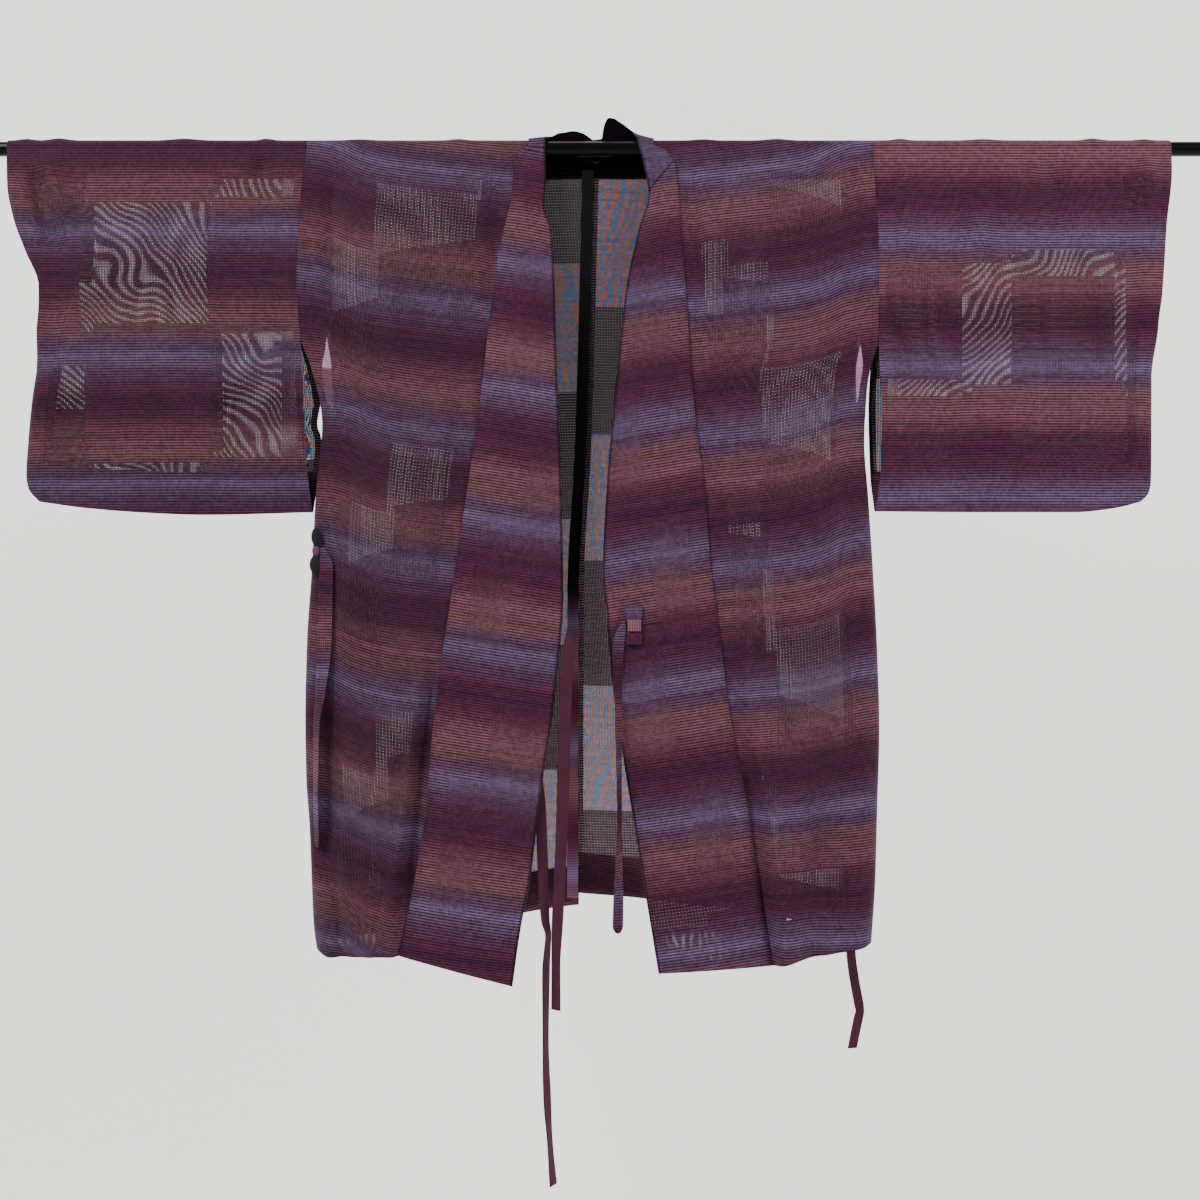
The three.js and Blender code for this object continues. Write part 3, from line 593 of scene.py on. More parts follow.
# ---------------------------------------------------------------- meshes


def new_piece(name, points, faces, material, maps):
    """A smooth mesh object from points and faces in millimetres, with its UV maps in metres."""
    mesh = bpy.data.meshes.new(name)
    mesh.from_pydata((points * MM).tolist(), [], [tuple(map(int, face)) for face in faces])
    mesh.materials.append(material)
    loops = np.empty(len(mesh.loops), np.int32)
    mesh.loops.foreach_get("vertex_index", loops)
    for map_name, values in maps.items():
        layer = mesh.uv_layers.new(name=map_name)
        layer.data.foreach_set("uv", (values[loops] * MM).ravel())
    mesh.shade_smooth()
    obj = bpy.data.objects.new(name, mesh)
    bpy.context.scene.collection.objects.link(obj)
    return obj


def grid_faces(rows, count):
    i, j = np.meshgrid(np.arange(rows - 1), np.arange(count - 1), indexing="ij")
    a = (i * count + j).ravel()
    return np.stack([a, a + 1, a + count + 1, a + count], -1)


def grid_normals(grid):
    ahead = np.gradient(grid, axis=0)
    across = np.gradient(grid, axis=1)
    normal = np.cross(across, ahead)
    return normal / np.linalg.norm(normal, axis=-1, keepdims=True)


def sheet_piece(name, sheet, material):
    """A single layer of cloth."""
    grid, maps = sheet
    rows, count = grid.shape[:2]
    faces = grid_faces(rows, count)
    if grid_normals(grid)[rows // 4, count // 2, 1] > 0:
        faces = faces[:, ::-1]
    maps = {key: values.reshape(-1, 2) for key, values in maps.items()}
    return new_piece(name, grid.reshape(-1, 3), faces, material, maps)


def doubled_piece(name, sheet, wall, material):
    """Doubled cloth: a closed shell with rounded long edges."""
    grid, maps = sheet
    rows = len(grid)
    normal = grid_normals(grid)
    across = np.gradient(grid, axis=1)
    across /= np.linalg.norm(across, axis=-1, keepdims=True)
    front = grid + normal * wall / 2
    back = grid - normal * wall / 2
    ring = [front]
    for angle in (60, 0, -60):
        turn = math.radians(angle)
        offset = normal[:, -1:] * math.sin(turn) + across[:, -1:] * math.cos(turn)
        ring.append(grid[:, -1:] + offset * wall / 2 - across[:, -1:] * wall / 2)
    front[:, -1:] -= across[:, -1:] * wall / 2
    back[:, -1:] -= across[:, -1:] * wall / 2
    ring = np.concatenate(ring + [back[:, ::-1]], 1)
    maps = {
        key: np.concatenate([values] + [values[:, -1:]] * 3 + [values[:, ::-1]], 1).reshape(-1, 2)
        for key, values in maps.items()
    }
    count = ring.shape[1]
    faces = list(grid_faces(rows, count))
    for a in range(0, (rows - 1) * count, count):
        faces.append((a + count - 1, a, a + count, a + 2 * count - 1))
    faces.append(tuple(range(count)))
    faces.append(tuple(reversed(range((rows - 1) * count, rows * count))))
    return new_piece(name, ring.reshape(-1, 3), faces, material, maps)


# ---------------------------------------------------------------- materials


class Value:
    """The output of a material's node. Arithmetic on it makes math nodes."""

    def __init__(self, nodes, socket):
        self.nodes = nodes
        self.socket = socket

    def operator(operation):
        return lambda self, other=0.0: self.nodes.math(operation, self, other)

    __add__ = operator("ADD")
    __sub__ = operator("SUBTRACT")
    __mul__ = operator("MULTIPLY")
    __truediv__ = operator("DIVIDE")
    __lt__ = operator("LESS_THAN")
    __gt__ = operator("GREATER_THAN")
    __or__ = operator("MAXIMUM")
    __abs__ = operator("ABSOLUTE")

    def __rsub__(self, other):
        return self.nodes.math("SUBTRACT", other, self)


class Nodes:
    """A material's node tree, with short calls for the nodes that the materials share."""

    def __init__(self, name):
        self.material = bpy.data.materials.new(name)
        self.material.use_nodes = True
        self.tree = self.material.node_tree

    def node(self, kind, values=(), **settings):
        """A new node's outputs."""
        node = self.tree.nodes.new("ShaderNode" + kind)
        for key, value in settings.items():
            setattr(node, key, value)
        self.put(node, dict(values))
        return {key: Value(self, socket) for key, socket in
                [*enumerate(node.outputs), *node.outputs.items()]}

    def put(self, node, values):
        """Sets a node's sockets, or links them to other nodes."""
        for key, value in values.items():
            if isinstance(value, Value):
                self.tree.links.new(value.socket, node.inputs[key])
            else:
                node.inputs[key].default_value = value

    def shade(self, values):
        self.put(self.tree.nodes["Principled BSDF"], values)

    def bump(self, height, strength, distance=0.0004):
        self.shade({"Normal": self.node("Bump", {
            "Strength": strength, "Distance": distance, "Height": height})[0]})

    def math(self, operation, a, b=0.0, c=0.0):
        return self.node("Math", {0: a, 1: b, 2: c}, operation=operation)[0]

    def mix(self, share, low, high):
        """low where share is 0, high where it is 1."""
        return self.math("MULTIPLY_ADD", share, high - low, low)

    def ramp(self, value, start, end, low=0.0, high=1.0):
        """low where value is start, high where it is end, smooth in between."""
        return self.node("MapRange", dict(enumerate((value, start, end, low, high))),
                         interpolation_type="SMOOTHSTEP")[0]

    def repeat(self, value, pitch=1.0):
        return self.math("FRACT", value / pitch)

    def off_middle(self, value, pitch):
        """Distance from the middle of a repeat, as a share of its pitch."""
        return abs(self.repeat(value, pitch) - 0.5)

    def vector(self, x=0.0, y=0.0, z=0.0):
        return self.node("CombineXYZ", {0: x, 1: y, 2: z})[0]

    def split(self, vector):
        parts = self.node("SeparateXYZ", {0: vector})
        return parts[0], parts[1], parts[2]

    def uv(self, name):
        return self.split(self.node("UVMap", uv_map=name)[0])[:2]

    def place(self):
        return self.node("TexCoord")["Object"]

    def noise(self, vector, scale, detail=2.0):
        return self.node("TexNoise", {"Vector": vector, "Scale": scale, "Detail": detail})[0]

    def wave(self, vector, pitch, direction, distortion, detail, detail_scale=1.0):
        return self.node("TexWave", {
            "Vector": vector, "Scale": math.pi / 10 / pitch, "Distortion": distortion,
            "Detail": detail, "Detail Scale": detail_scale,
        }, bands_direction=direction)["Fac"]

    def colour_ramp(self, value, stops):
        node = self.tree.nodes.new("ShaderNodeValToRGB")
        self.put(node, {0: value})
        elements = node.color_ramp.elements
        for position, colour in stops[1:-1]:
            elements.new(position)
        for element, (position, colour) in zip(elements, stops):
            element.position = position
            element.color = colour
        return Value(self, node.outputs[0])

    def mix_colour(self, share, a, b, blend="MIX"):
        return self.node("Mix", {0: share, 6: a, 7: b}, data_type="RGBA", blend_type=blend)[2]

    def toned(self, colour, tone):
        """A colour made lighter or darker by a number."""
        grey = self.node("CombineColor", {0: tone, 1: tone, 2: tone})[0]
        return self.mix_colour(1.0, colour, grey, "MULTIPLY")


def linear(red, green, blue):
    """A colour in 0 to 255 as the shader takes it."""
    return (*((c / 255 / 12.92 if c <= 10 else ((c / 255 + 0.055) / 1.055) ** 2.4)
              for c in (red, green, blue)), 1)


BLUE = linear(108, 90, 124)
VIOLET = linear(92, 62, 90)
PLUM = linear(70, 28, 52)
WINE = linear(84, 40, 60)
ROSE = linear(122, 76, 88)
BROWN = linear(114, 76, 80)
STRIPES = (
    (0.0, BLUE), (0.12, VIOLET), (0.24, WINE), (0.34, PLUM), (0.48, WINE), (0.66, ROSE),
    (0.8, BROWN), (0.92, VIOLET), (1.0, BLUE),
)
GROUND = linear(49, 26, 44)  # between the ribs
ALONE = linear(172, 96, 152)  # where the front lies alone, with the light behind it
# The wrong side's colours are painted light and shade: a dark ground for the shade inside the coat,
# light dots and open weave for light coming through, and a cool and warm shimmer for light beating
# through two meshes
INSIDE_SHADE_GROUND = linear(16, 12, 16)
INSIDE_LIT_DOT = linear(134, 114, 121)
INSIDE_LIT_OPEN = linear(138, 100, 118)
SHIMMER_COOL = linear(72, 104, 158)
SHIMMER_WARM = linear(166, 92, 80)
TURNED = linear(92, 72, 102)  # the turned-out corner at the neck

# Sizes of the weave, in metres
RIB = 0.0031  # from one raised weft to the next
DOT = 0.0018  # between the small gaps along a rib
MESH = 0.0018  # between the holes of the open weave
BLOCK = 0.294  # of a dense and an open block together, along the cloth
OPEN_PART = 0.5
DRIFT = 0.006  # how far the stripes stray
BEAT = 0.0062  # between the curved bands where two meshes beat against each other
SHIMMER = 1.6 * BEAT
HEM_STREAK = 0.009  # between the light streaks of a hem's open weave
STITCH = 0.011
STITCH_ROW = 0.0452  # above the hem
# Close weave: this near the hem and side, and this far below the rod
HEM_BAND = 0.047
SIDE_BAND = 0.022
SHOULDER_BAND = 0.03
BLOCKS_FROM = 0.034  # the side of the bodies
NEAR_ARMHOLE = 0.03
BACK_MIDDLE = 0.19  # from the side to where the back shows between the fronts
ALONE_TO = 0.307  # along the front, to where it lies alone beside the end of the armhole
ALONE_DIM = 0.263  # and from where it is closer there
# How much of the light goes through: where the front lies alone, and through a dense block's gaps
ALONE_CLEAR = 0.17
GAP_CLEAR = 0.12
# Painted shade: the allowance is painted black above this height
SEAM_LIGHT_FROM = -0.55  # the allowance is dark above here
SEAM_LIGHT_TO = -0.62
SEAM_STRIPE = 0.15


def cloth_material(name, kind, period, blue_at, blocks, lit, seed, reverse=False, alone=None,
                   hem_light=None):
    """Striped gauze of a body, sleeve or doubled piece.

    Stripes run across the cloth, and columns of dense and open blocks along it. Each row of
    blocks is a column's start, its blocks' phase, and how far that moves behind. alone says where
    a body's front begins to lie alone, how wide that place is at its two ends, and how clear its
    lower part is. hem_light is the strength of a hem's light streaks, and where they start and end.
    """
    n = Nodes(name)
    across, along = n.uv("cloth")
    to_hem, to_side = n.uv("edge")
    geometry = n.node("NewGeometry")
    depth, height = n.split(n.place())[1:]
    behind = along < 0.0
    in_front = 1 - behind
    drift = n.noise(n.vector(across * 3.0, along, seed), 9.0)
    from_blue = along + n.mix(drift, -DRIFT, DRIFT) - blue_at
    stripe = n.colour_ramp(n.repeat(from_blue, -period if reverse else period), STRIPES)

    # Blocks: uneven columns, along each of which dense and open blocks take turns
    turn = abs(along) / BLOCK
    last_phase = last_shift = 0.0
    for start, phase, shift in blocks:
        past = across > start
        turn = turn + past * (phase - last_phase) + past * behind * (shift - last_shift)
        last_phase, last_shift = phase, shift
    in_hem = to_hem < HEM_BAND
    outside_band = 1 - (in_hem | (to_side < SIDE_BAND) | (height > -SHOULDER_BAND))
    is_open = n.repeat(turn) < OPEN_PART
    if kind == "body":
        # By the end of the armhole the front lies alone, in open weave
        alone_from, wide, narrow, low_share = alone
        lies_alone = ((across < n.ramp(along, alone_from, ALONE_TO, wide, narrow))
                      * (along > alone_from) * (along < ALONE_TO))
        is_open = is_open * (across > BLOCKS_FROM) | lies_alone
    is_open = is_open * outside_band
    is_dense = 1 - is_open

    # Threads: raised ribs with small dots, and the open weave's holes. Behind, a sleeve's holes
    # are wide and narrow in curved bands, where the two layers' meshes beat against each other.
    off_rib = n.off_middle(along, RIB)
    rib = n.ramp(off_rib, 0.1, 0.36)
    dot = n.ramp(n.off_middle(across, DOT), 0.15, 0.3, 1.0, 0.0)
    gap = n.ramp(off_rib, 0.09, 0.15, 1.0, 0.0) * dot * is_dense * outside_band
    wide = (n.repeat(across, 2 * MESH) < 0.5) * (n.repeat(along, 2 * MESH) < 0.5)
    if kind == "sleeve":
        near_armhole = across < NEAR_ARMHOLE
        beat = n.wave(n.vector(across, 0.0 - along, seed), BEAT, "DIAGONAL", 24.0, 0.5, 0.3)
        beat = n.ramp(beat, 0.15, 0.95, 0.08, 0.44)
        reach = (in_front * n.mix(wide, 0.24, 0.34)
                 + behind * (beat * (1 - near_armhole) + near_armhole * 0.2))
    else:
        reach = in_front * n.mix(wide, 0.14, 0.42) + behind * 0.27
    hole = is_open
    for value in (across, along):
        hole = hole * n.ramp(n.off_middle(value, MESH) - reach, -0.04, 0.04, 1.0, 0.0)
    if kind == "body":
        hole = hole * (1 - lies_alone)
        lies_alone = lies_alone * is_open * n.ramp(
            along, ALONE_DIM, ALONE_DIM + 0.003, 1.0, low_share)
        hole = hole | lies_alone * ALONE_CLEAR

    # Colour: lit ribs over a dark ground, with rows and flecks of their own tone
    share = (n.mix(rib * n.mix(dot, 0.42, 1.0), 0.1, 1.05) * is_dense
             + n.mix(rib, 0.36, 0.56) * is_open)
    colour = n.mix_colour(share, GROUND, n.toned(stripe, lit))
    if kind == "body":
        colour = n.mix_colour(lies_alone, colour, ALONE)
    row = n.math("FLOOR", along / RIB)
    cell = n.math("FLOOR", (across + n.math("MODULO", row, 2.0) * DOT) / (2 * DOT))
    row_tone = n.node("TexWhiteNoise", {"W": row}, noise_dimensions="1D")["Value"]
    fleck = n.node("TexWhiteNoise", {"Vector": n.vector(cell, row, seed)})["Value"]
    thread = n.noise(n.vector(across * 60.0, along * 500.0, seed), 1.0, 3.0)
    stitch = (n.repeat(across, STITCH) < 0.24) * n.math("COMPARE", to_hem, STITCH_ROW, 0.0006)
    tone = (n.mix(thread, 0.78, 1.22) * n.mix(row_tone, 0.86, 1.14) * n.mix(fleck, 0.78, 1.22)
            * n.mix(stitch, 1.0, 0.45))

    if kind == "doubled":
        turned, from_edge = n.uv("turned")
        colour = n.mix_colour(n.ramp(turned, 0.0, 0.001) * 0.8, colour, TURNED)
        # Painted shade: a dark line along the fold of the turned-out corner; the collar is also
        # darker along its inner edge
        fold = n.ramp(abs(turned), 0.0004, 0.0014)
        edge_line = n.ramp(abs(from_edge), 0.0014, 0.003)
        tone = tone * n.mix(fold, 0.4, 1.0) * n.mix(edge_line, 0.4, 1.0)
        # Painted shade: faces that look forward from behind the rod, inside the collar at the neck,
        # are made nearly black and lose their gloss
        faces_front = n.split(geometry["Normal"])[1] < 0.2
        inside = faces_front * n.ramp(depth, 0.001, 0.004)
    else:
        # The wrong side, painted with light and shade: dots of painted light on a ground of painted
        # shade, and in its open blocks a shimmer painted for the light through two meshes
        shimmer = n.wave(n.vector(across + along * 0.3, along * 0.6, seed), SHIMMER, "X", 18.0,
                         2.0, 0.6)
        shimmer = n.ramp(shimmer + n.mix(fleck, -0.3, 0.3), 0.2, 0.8)
        # Painted shade and light: the shimmer is darker high up and lighter lower down
        shimmer = n.toned(n.mix_colour(shimmer, SHIMMER_COOL, SHIMMER_WARM),
                          n.ramp(height, -0.15, -0.6, 0.72, 2.1))
        seen = across < NEAR_ARMHOLE if kind == "sleeve" else across > BACK_MIDDLE
        shimmer = n.mix_colour(n.mix(seen, 0.15, 1.0), INSIDE_LIT_OPEN, shimmer)
        inner_rib = rib * n.mix(dot, 0.3, 1.0)
        # Painted shade and light: the wrong side is darker high up and much lighter lower down
        wrong = n.toned(n.mix_colour(inner_rib * inner_rib, INSIDE_SHADE_GROUND, INSIDE_LIT_DOT),
                        n.ramp(height, -0.25, -0.52, 0.85, 3.8))
        wrong = n.mix_colour(is_open * behind, wrong, shimmer)
        colour = n.mix_colour(geometry["Backfacing"] * (1 - in_hem), colour, wrong)
        # Painted shade: the wrong side just below the rod is made nearly black and loses its gloss
        inside = geometry["Backfacing"] * n.ramp(height, -0.032, -0.027)

    # How much of the light goes through
    if kind == "doubled":
        clear = hole * 0.3
    elif kind == "sleeve":
        clear = in_front * hole * 0.76 + behind * hole * 0.31 + gap * GAP_CLEAR
    else:
        # Painted shade: the back lets less light through towards its centre, and less still higher
        # up, as if its weave were closer there
        closer = (across > 0.2) * n.ramp(height, -0.8, -0.1, 0.35, 0.8)
        clear = (behind * (hole * 0.31 + is_open * 0.02) * (1 - closer) + gap * GAP_CLEAR
                 + in_front * hole * 0.66)
    if hem_light:
        light, start, end = hem_light
        where = n.vector(across, along, seed)
        streak = n.ramp(n.wave(where, HEM_STREAK, "X", 5.0, 1.0), 0.2, 0.95)
        cloud = n.ramp(n.noise(where, 34.0, 1.0), 0.3, 0.55, 0.25, 1.0)
        within = (n.ramp(to_hem, 0.006, 0.016) * n.ramp(to_hem, HEM_BAND, 0.036)
                  * n.ramp(across, start, start + 0.015) * n.ramp(across, end, end - 0.015))
        clear = clear + streak * cloud * within * in_front * light
    # Where inside is set, the colour is darkened by painted shade and the gloss is taken away
    n.shade({
        "Base Color": n.toned(colour, tone * n.mix(inside, 1.0, 0.06)), "Roughness": 0.72,
        "Sheen Weight": 0.05, "Sheen Roughness": 0.4,
        "Specular IOR Level": n.mix(inside, 0.15, 0.02), "Alpha": 1 - clear,
    })
    n.bump(rib * n.mix(is_dense, 0.4, 1.0) - hole * 1.2, 0.3)
    return n.material


def silk_material(name, colour, ribs=0.0012, direction="DIAGONAL", contrast=0.18):
    """Plain silk with fine ribs, for the ties, knots and wraps."""
    n = Nodes(name)
    wave = n.wave(n.place(), ribs, direction, 1.0, 2.0)
    tone = n.mix(wave, 1 - contrast, 1 + contrast) * n.mix(n.noise(n.place(), 60.0, 3.0), 0.7, 1.3)
    n.shade({"Base Color": n.toned(colour, tone), "Roughness": 0.7, "Sheen Weight": 0.04,
             "Specular IOR Level": 0.2})
    n.bump(wave, 0.4)
    return n.material


def seam_material():
    """The centre back allowance: painted black shade above, plum rows of weave below."""
    n = Nodes("seam_gauze")
    across, along = n.uv("cloth")
    rows = n.ramp(n.off_middle(along, RIB), 0.1, 0.36)
    cloud = n.noise(n.vector(across * 300.0, along * 30.0), 1.0, 3.0)
    # Painted shade: black above SEAM_LIGHT_FROM, the allowance's rows of weave below
    colour = n.mix_colour(n.ramp(along, SEAM_LIGHT_FROM, SEAM_LIGHT_TO),
                          (0.003, 0.0025, 0.003, 1),
                          n.colour_ramp(n.repeat(along, SEAM_STRIPE), STRIPES))
    tone = n.mix(rows, 2.4, 3.9) * n.mix(cloud, 0.8, 1.2)
    n.shade({"Base Color": n.toned(colour, tone), "Roughness": 0.8, "Specular IOR Level": 0.15})
    n.bump(rows, 0.3)
    return n.material


def rod_material():
    """Gloss black paint, faintly uneven."""
    n = Nodes("rod_paint")
    cloud = n.noise(n.place(), 25.0, 4.0)
    n.shade({
        "Base Color": n.mix_colour(cloud, (0.002, 0.002, 0.003, 1), (0.005, 0.005, 0.006, 1)),
        "Roughness": n.ramp(cloud, 0.3, 0.7, 0.24, 0.32), "Specular IOR Level": 0.18,
    })
    n.bump(n.noise(n.place(), 900.0), 0.08, 0.0002)
    return n.material


def stage_material(name, grey, glow=0.0, one_sided=False):
    """Plain pale paint, lit from within by its glow. A one-sided one is clear from behind."""
    n = Nodes(name)
    shades = [(*(share * c for c in (grey, grey, grey - 0.01)), 1) for share in (1, 0.97)]
    n.shade({"Base Color": n.mix_colour(n.noise(n.place(), 1.5), *shades), "Roughness": 0.9,
             "Emission Color": (1, 1, 0.985, 1), "Emission Strength": glow})
    if one_sided:
        n.shade({"Alpha": 1 - n.node("NewGeometry")["Backfacing"]})
    return n.material


# ---------------------------------------------------------------- the coat

FRONT_TOP = ARC_LENGTH * MM  # along the cloth, where the front leaves the rod
CLOTHS = {
    "body_right": dict(
        kind="body", period=0.1495, blue_at=FRONT_TOP - 0.006, lit=1.5, seed=0.31,
        blocks=((-1, 0.62, 0.2), (0.085, 0.888, 0.1), (0.2, 0.371, 0)),
        alone=(0.2235, 0.03, 0.016, 0.12), hem_light=(0.2, 0.014, 0.09),
    ),
    "body_left": dict(
        kind="body", period=0.1495, blue_at=FRONT_TOP + 0.146, lit=1.8, seed=1.73, reverse=True,
        blocks=((-1, 0.184, 0.04), (0.12, 0.6, 0.25), (0.17, 0.704, 0)),
        alone=(0.2318, 0.02, 0.012, 0.8),
    ),
    "sleeve_right": dict(
        kind="sleeve", period=0.1435, blue_at=FRONT_TOP - 0.048, lit=1.55, seed=2.41,
        blocks=((-1, 0.252, 0), (0.1, 0.728, 0.06), (0.245, 0.1, 0.35)),
    ),
    "sleeve_left": dict(
        kind="sleeve", period=0.1435, blue_at=FRONT_TOP + 0.109, lit=2.15, seed=3.9, reverse=True,
        blocks=((-1, 0.483, -0.415), (0.105, 0.524, 0), (0.16, 0.544, 0.43), (0.28, 0.2, 0.3)),
    ),
    "collar_right": dict(
        kind="doubled", period=0.1445, blue_at=-0.016, lit=2.0, seed=5.2,
        blocks=((-1, 0.6, 0), (0.065, 0.9, 0)),
    ),
    "collar_left": dict(
        kind="doubled", period=0.1455, blue_at=0.1655, lit=1.95, seed=6.6, reverse=True,
        blocks=((-1, 0.6, 0), (0.065, 0.2, 0)), hem_light=(0.3, 0.045, 0.12),
    ),
    "tie_side": dict(
        kind="doubled", period=0.1495, blue_at=-0.006, lit=1.9, seed=7.3, blocks=((-1, 0.4, 0),),
    ),
}


def declare(piece, node):
    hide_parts(node)
    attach(piece, "root")


def tie_sheet(path, place, start):
    """A tie's grid: a flat strip along a table's path, its stripes beginning at start."""
    count = len(path["z"])
    at = np.linspace(0, count - 1, (count - 1) * 12 + 1)
    keyed = {**path, "at": np.arange(count, dtype=float)}
    row = {column: value_at(keyed, column, at, "at") for column in path}
    turn = np.radians(row["turn"])
    middle = columns(row["x"], place(row), row["z"])
    half = columns(np.cos(turn), np.sin(turn), 0) * row["width"][:, None] / 2
    u = np.linspace(-1, 1, 7)
    grid = middle[:, None] + half[:, None] * u[None, :, None]
    length = np.concatenate([[0], np.cumsum(np.linalg.norm(np.diff(middle, axis=0), axis=1))])
    cloth = columns(u * 6 + 6, start + length[:, None])
    edge = columns(FAR, 6 - 6 * np.abs(u) + 0 * length[:, None])
    return grid, dict(cloth=cloth, edge=edge, turned=np.full_like(cloth, NOT_TURNED))


def own_depth(row):
    return row["y"]


def in_front(layer, wall):
    """A tie's depth, in front of a layer of cloth."""
    def depth(row):
        swing = np.abs(np.sin(np.radians(row["turn"]))) * row["width"] / 2
        return layer(row["x"], row["z"]) - (wall + TIE_WALL) / 2 - 2 - swing
    return depth


def pad_sheet(pad, lift, waisted):
    """A flat pad's grid on the left collar."""
    v, u = np.meshgrid(np.linspace(0.5, -0.5, 15), np.linspace(-0.5, 0.5, 9), indexing="ij")
    z = pad["z"] + v * pad["height"]
    waist = 1 - 0.3 * np.exp(-(((z - pad["z"]) / 8) ** 2)) if waisted else 1
    x = pad["x"] + u * pad["width"] * waist
    crown = (1 - (2 * u) ** 2) * 0.8
    grid = columns(x, collar_y(LEFT, x, z) - lift - crown, z)
    cloth = columns(u * pad["width"] + 20, pad["blue_at"] - (0.5 - v) * pad["height"])
    return grid, dict(cloth=cloth, edge=np.full_like(cloth, FAR),
                      turned=np.full_like(cloth, NOT_TURNED))


def knot_piece(name, material):
    """A small puffed knot in the box of its CAD node, creased where the cord turns."""
    low, high = (np.array(corner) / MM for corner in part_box(name))
    rings, sides = 14, 20
    polar, turn = np.meshgrid(np.pi * np.arange(rings + 1) / rings,
                              2 * np.pi * np.arange(sides) / sides, indexing="ij")
    crease = 1 - 0.09 * np.clip(np.cos(3 * turn + 4 * polar), 0, None) ** 3
    points = columns(np.sin(polar) * np.cos(turn) * crease, np.sin(polar) * np.sin(turn) * crease,
                     np.cos(polar)).reshape(-1, 3)
    points = points * (high - low) * KNOT_PUFF / 2 + (low + high) / 2
    a = np.arange(rings * sides)
    b = a - a % sides + (a + 1) % sides
    faces = np.stack([a, b, b + sides, a + sides], -1)
    return new_piece("coat_" + name, points, faces, material, {"cloth": points[:, [0, 2]]})


materials = {name: cloth_material(name + "_gauze", **facts) for name, facts in CLOTHS.items()}
for side, half in (("right", RIGHT), ("left", LEFT)):
    body = sheet_piece(f"coat_body_{side}", body_sheet(half), materials[f"body_{side}"])
    declare(body, f"body_{side}")
    sleeve = sheet_piece(f"coat_sleeve_{side}", sleeve_sheet(half), materials[f"sleeve_{side}"])
    declare(sleeve, f"sleeve_{side}")
    collar = doubled_piece(f"coat_collar_{side}", collar_sheet(half), 2.2,
                           materials[f"collar_{side}"])
    declare(collar, f"collar_{side}")

plum = silk_material("tie_silk", linear(88, 42, 62))
tab_silk = silk_material("wrap_silk", linear(146, 98, 104), 0.0026, "X", 0.4)
knot_silk = silk_material("knot_silk", linear(46, 38, 48), 0.0022, "Z", 0.5)
knot_wrap_silk = silk_material("knot_wrap_silk", linear(128, 84, 108), 0.002, "Z", 0.3)
striped = materials["tie_side"]
on_collar = in_front(lambda x, z: collar_y(LEFT, x, z), COLLAR_WALL)
on_body = in_front(lambda x, z: body_y(RIGHT, True, x, z), WALL)
# Path, depth, material, slot, where along the stripes the tie begins, and what holds it
TIES = {
    "tie_right_collar": (TIE_RIGHT_COLLAR, own_depth, plum, "tie_cloth", 0, "coat_collar_right"),
    "tie_right_inner": (TIE_RIGHT_INNER, own_depth, plum, "tie_cloth", 0, "coat_collar_right"),
    "tie_left_inner": (TIE_LEFT_INNER, own_depth, plum, "tie_cloth", 0, "coat_body_left"),
    "tie_left_collar": (
        TIE_LEFT_COLLAR, on_collar, striped, "collar_cloth", 135, "coat_collar_left",
    ),
    "tie_right_side": (TIE_RIGHT_SIDE, on_body, striped, "tie_cloth", 450, "coat_body_right"),
}
for name, (path, place, material, slot, start, holder) in TIES.items():
    tie = doubled_piece("coat_" + name, tie_sheet(path, place, start), 1.1, material)
    declare(tie, name)

tab_lift = (COLLAR_WALL + TAB["wall"]) / 2 + SEAM_GAP
tab = doubled_piece("coat_tab_left", pad_sheet(TAB, tab_lift, True), 2.4,
                    materials["collar_left"])
declare(tab, "tab_left")
wrap_lift = tab_lift + (TAB["wall"] + TAB_WRAP["wall"]) / 2 + SEAM_GAP
wrap = doubled_piece("coat_tab_left_wrap", pad_sheet(TAB_WRAP, wrap_lift, False), 2.0, tab_silk)
declare(wrap, "tab_left_wrap")
for name, material, slot in (
    ("knot_right_upper", knot_silk, "tie_cloth"),
    ("knot_right_lower", knot_silk, "tie_cloth"),
    ("knot_right_wrap", knot_wrap_silk, "wrap_cloth"),
):
    declare(knot_piece(name, material), name)

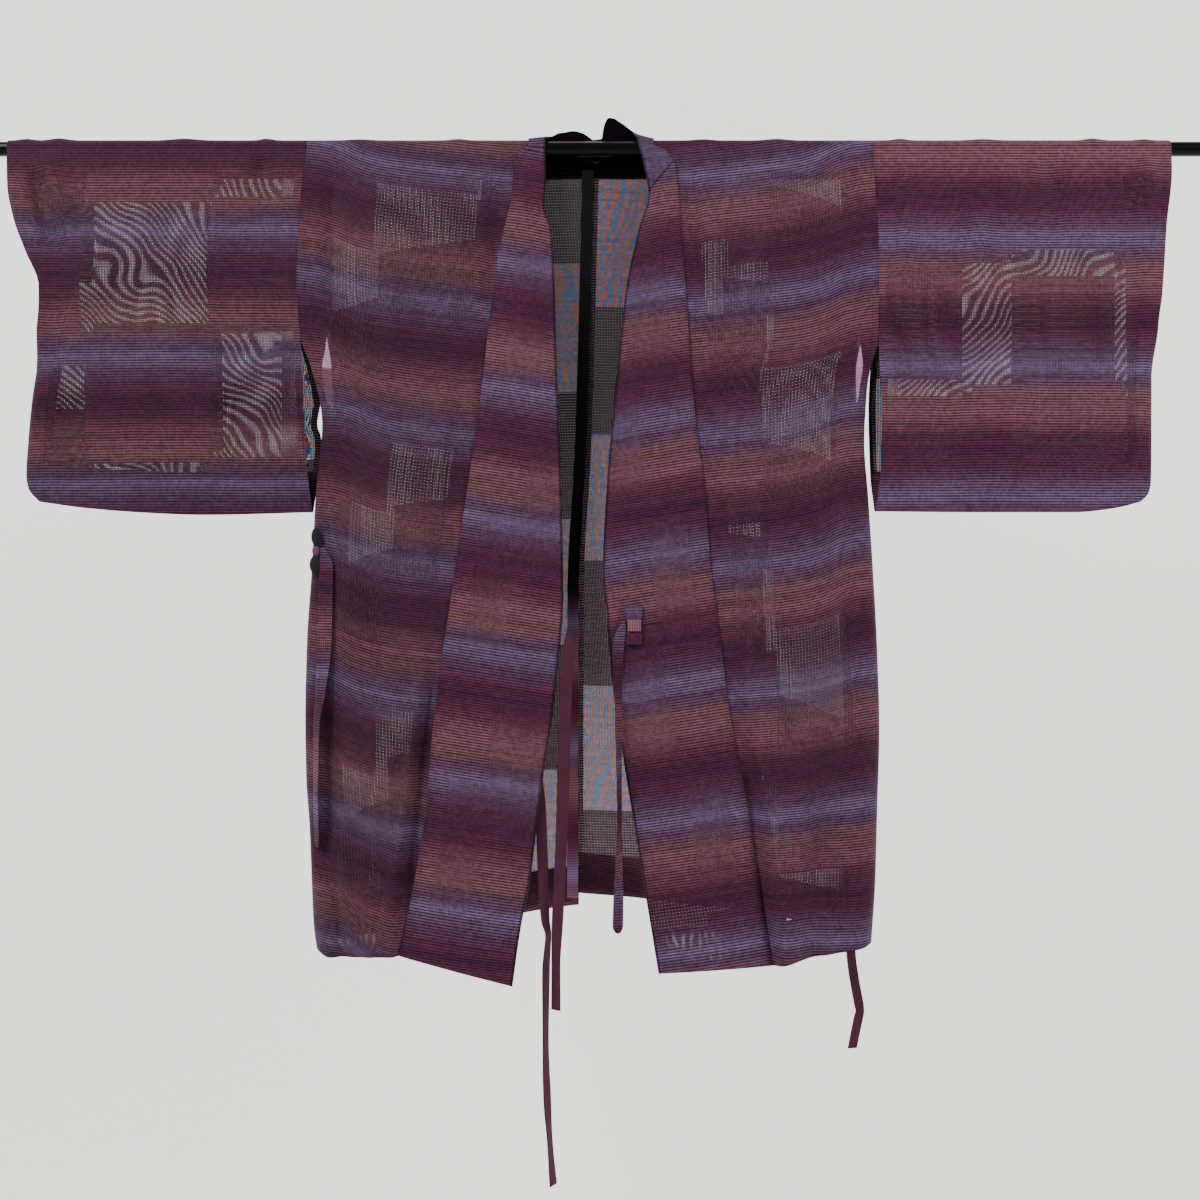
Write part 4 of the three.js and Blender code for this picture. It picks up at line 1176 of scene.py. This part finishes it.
# The centre back allowance, inside the right back
z = np.linspace(-NECK_DROP - 8, -866, 122)[:, None]
u = np.linspace(0, 1, 4)[None]
x = value_at(BACK_SEAM, "x", z) - 1 - (1 - u) * ALLOWANCE
grid = columns(x, body_y(RIGHT, False, x, z) - WALL, z)
cloth = columns(300 + ALLOWANCE * u, z - ARC_LENGTH - 45)
allowance = sheet_piece("coat_centre_back_allowance", (grid, dict(cloth=cloth)),
                        seam_material())
declare(allowance, "centre_back_allowance")

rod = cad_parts["rod"]
rod.data.materials.clear()
rod.data.materials.append(rod_material())

# ---------------------------------------------------------------- stage, light and camera

WALL_Y = 0.62
FLOOR_Z = -1.56
REACH = 4


def add_object(name, data):
    obj = bpy.data.objects.new(name, data)
    bpy.context.scene.collection.objects.link(obj)
    return obj


def plane(name, corners, material):
    mesh = bpy.data.meshes.new(name)
    mesh.from_pydata(corners, [], [(0, 1, 2, 3)])
    mesh.materials.append(material)
    add_object(name, mesh)


plane("wall", [(-REACH, WALL_Y, FLOOR_Z), (REACH, WALL_Y, FLOOR_Z), (REACH, WALL_Y, 3),
               (-REACH, WALL_Y, 3)],
      stage_material("wall_paint", 0.8, glow=1.25, one_sided=True))
plane("floor", [(-REACH, -REACH, FLOOR_Z), (REACH, -REACH, FLOOR_Z), (REACH, WALL_Y, FLOOR_Z),
                (-REACH, WALL_Y, FLOOR_Z)],
      stage_material("floor_paint", 0.78))


def area_light(name, at, toward, size, power):
    light = bpy.data.lights.new(name, "AREA")
    light.shape = "RECTANGLE"
    light.size, light.size_y = size
    light.energy = power
    obj = add_object(name, light)
    obj.location = at
    obj.rotation_euler = (Vector(toward) - Vector(at)).to_track_quat("-Z", "Y").to_euler()
    obj.visible_camera = False


area_light("front", (-1.7, -1.7, 1.5), (0, 0, -0.45), (1.2, 0.8), 52)
area_light("fill", (2.2, -1.3, 0.6), (0, 0, -0.5), (0.9, 0.9), 24)

world = bpy.data.worlds.new("studio")
bpy.context.scene.world = world
world.use_nodes = True
background = world.node_tree.nodes["Background"]
background.inputs["Color"].default_value = (1, 1, 1, 1)
background.inputs["Strength"].default_value = 0.2

camera_data = bpy.data.cameras.new("camera")
camera_data.lens = 36
camera_data.sensor_width = 36
camera = add_object("camera", camera_data)
camera.location = (0.011, -1.368, -0.514)
camera.rotation_euler = (math.radians(90), 0, 0)
bpy.context.scene.camera = camera
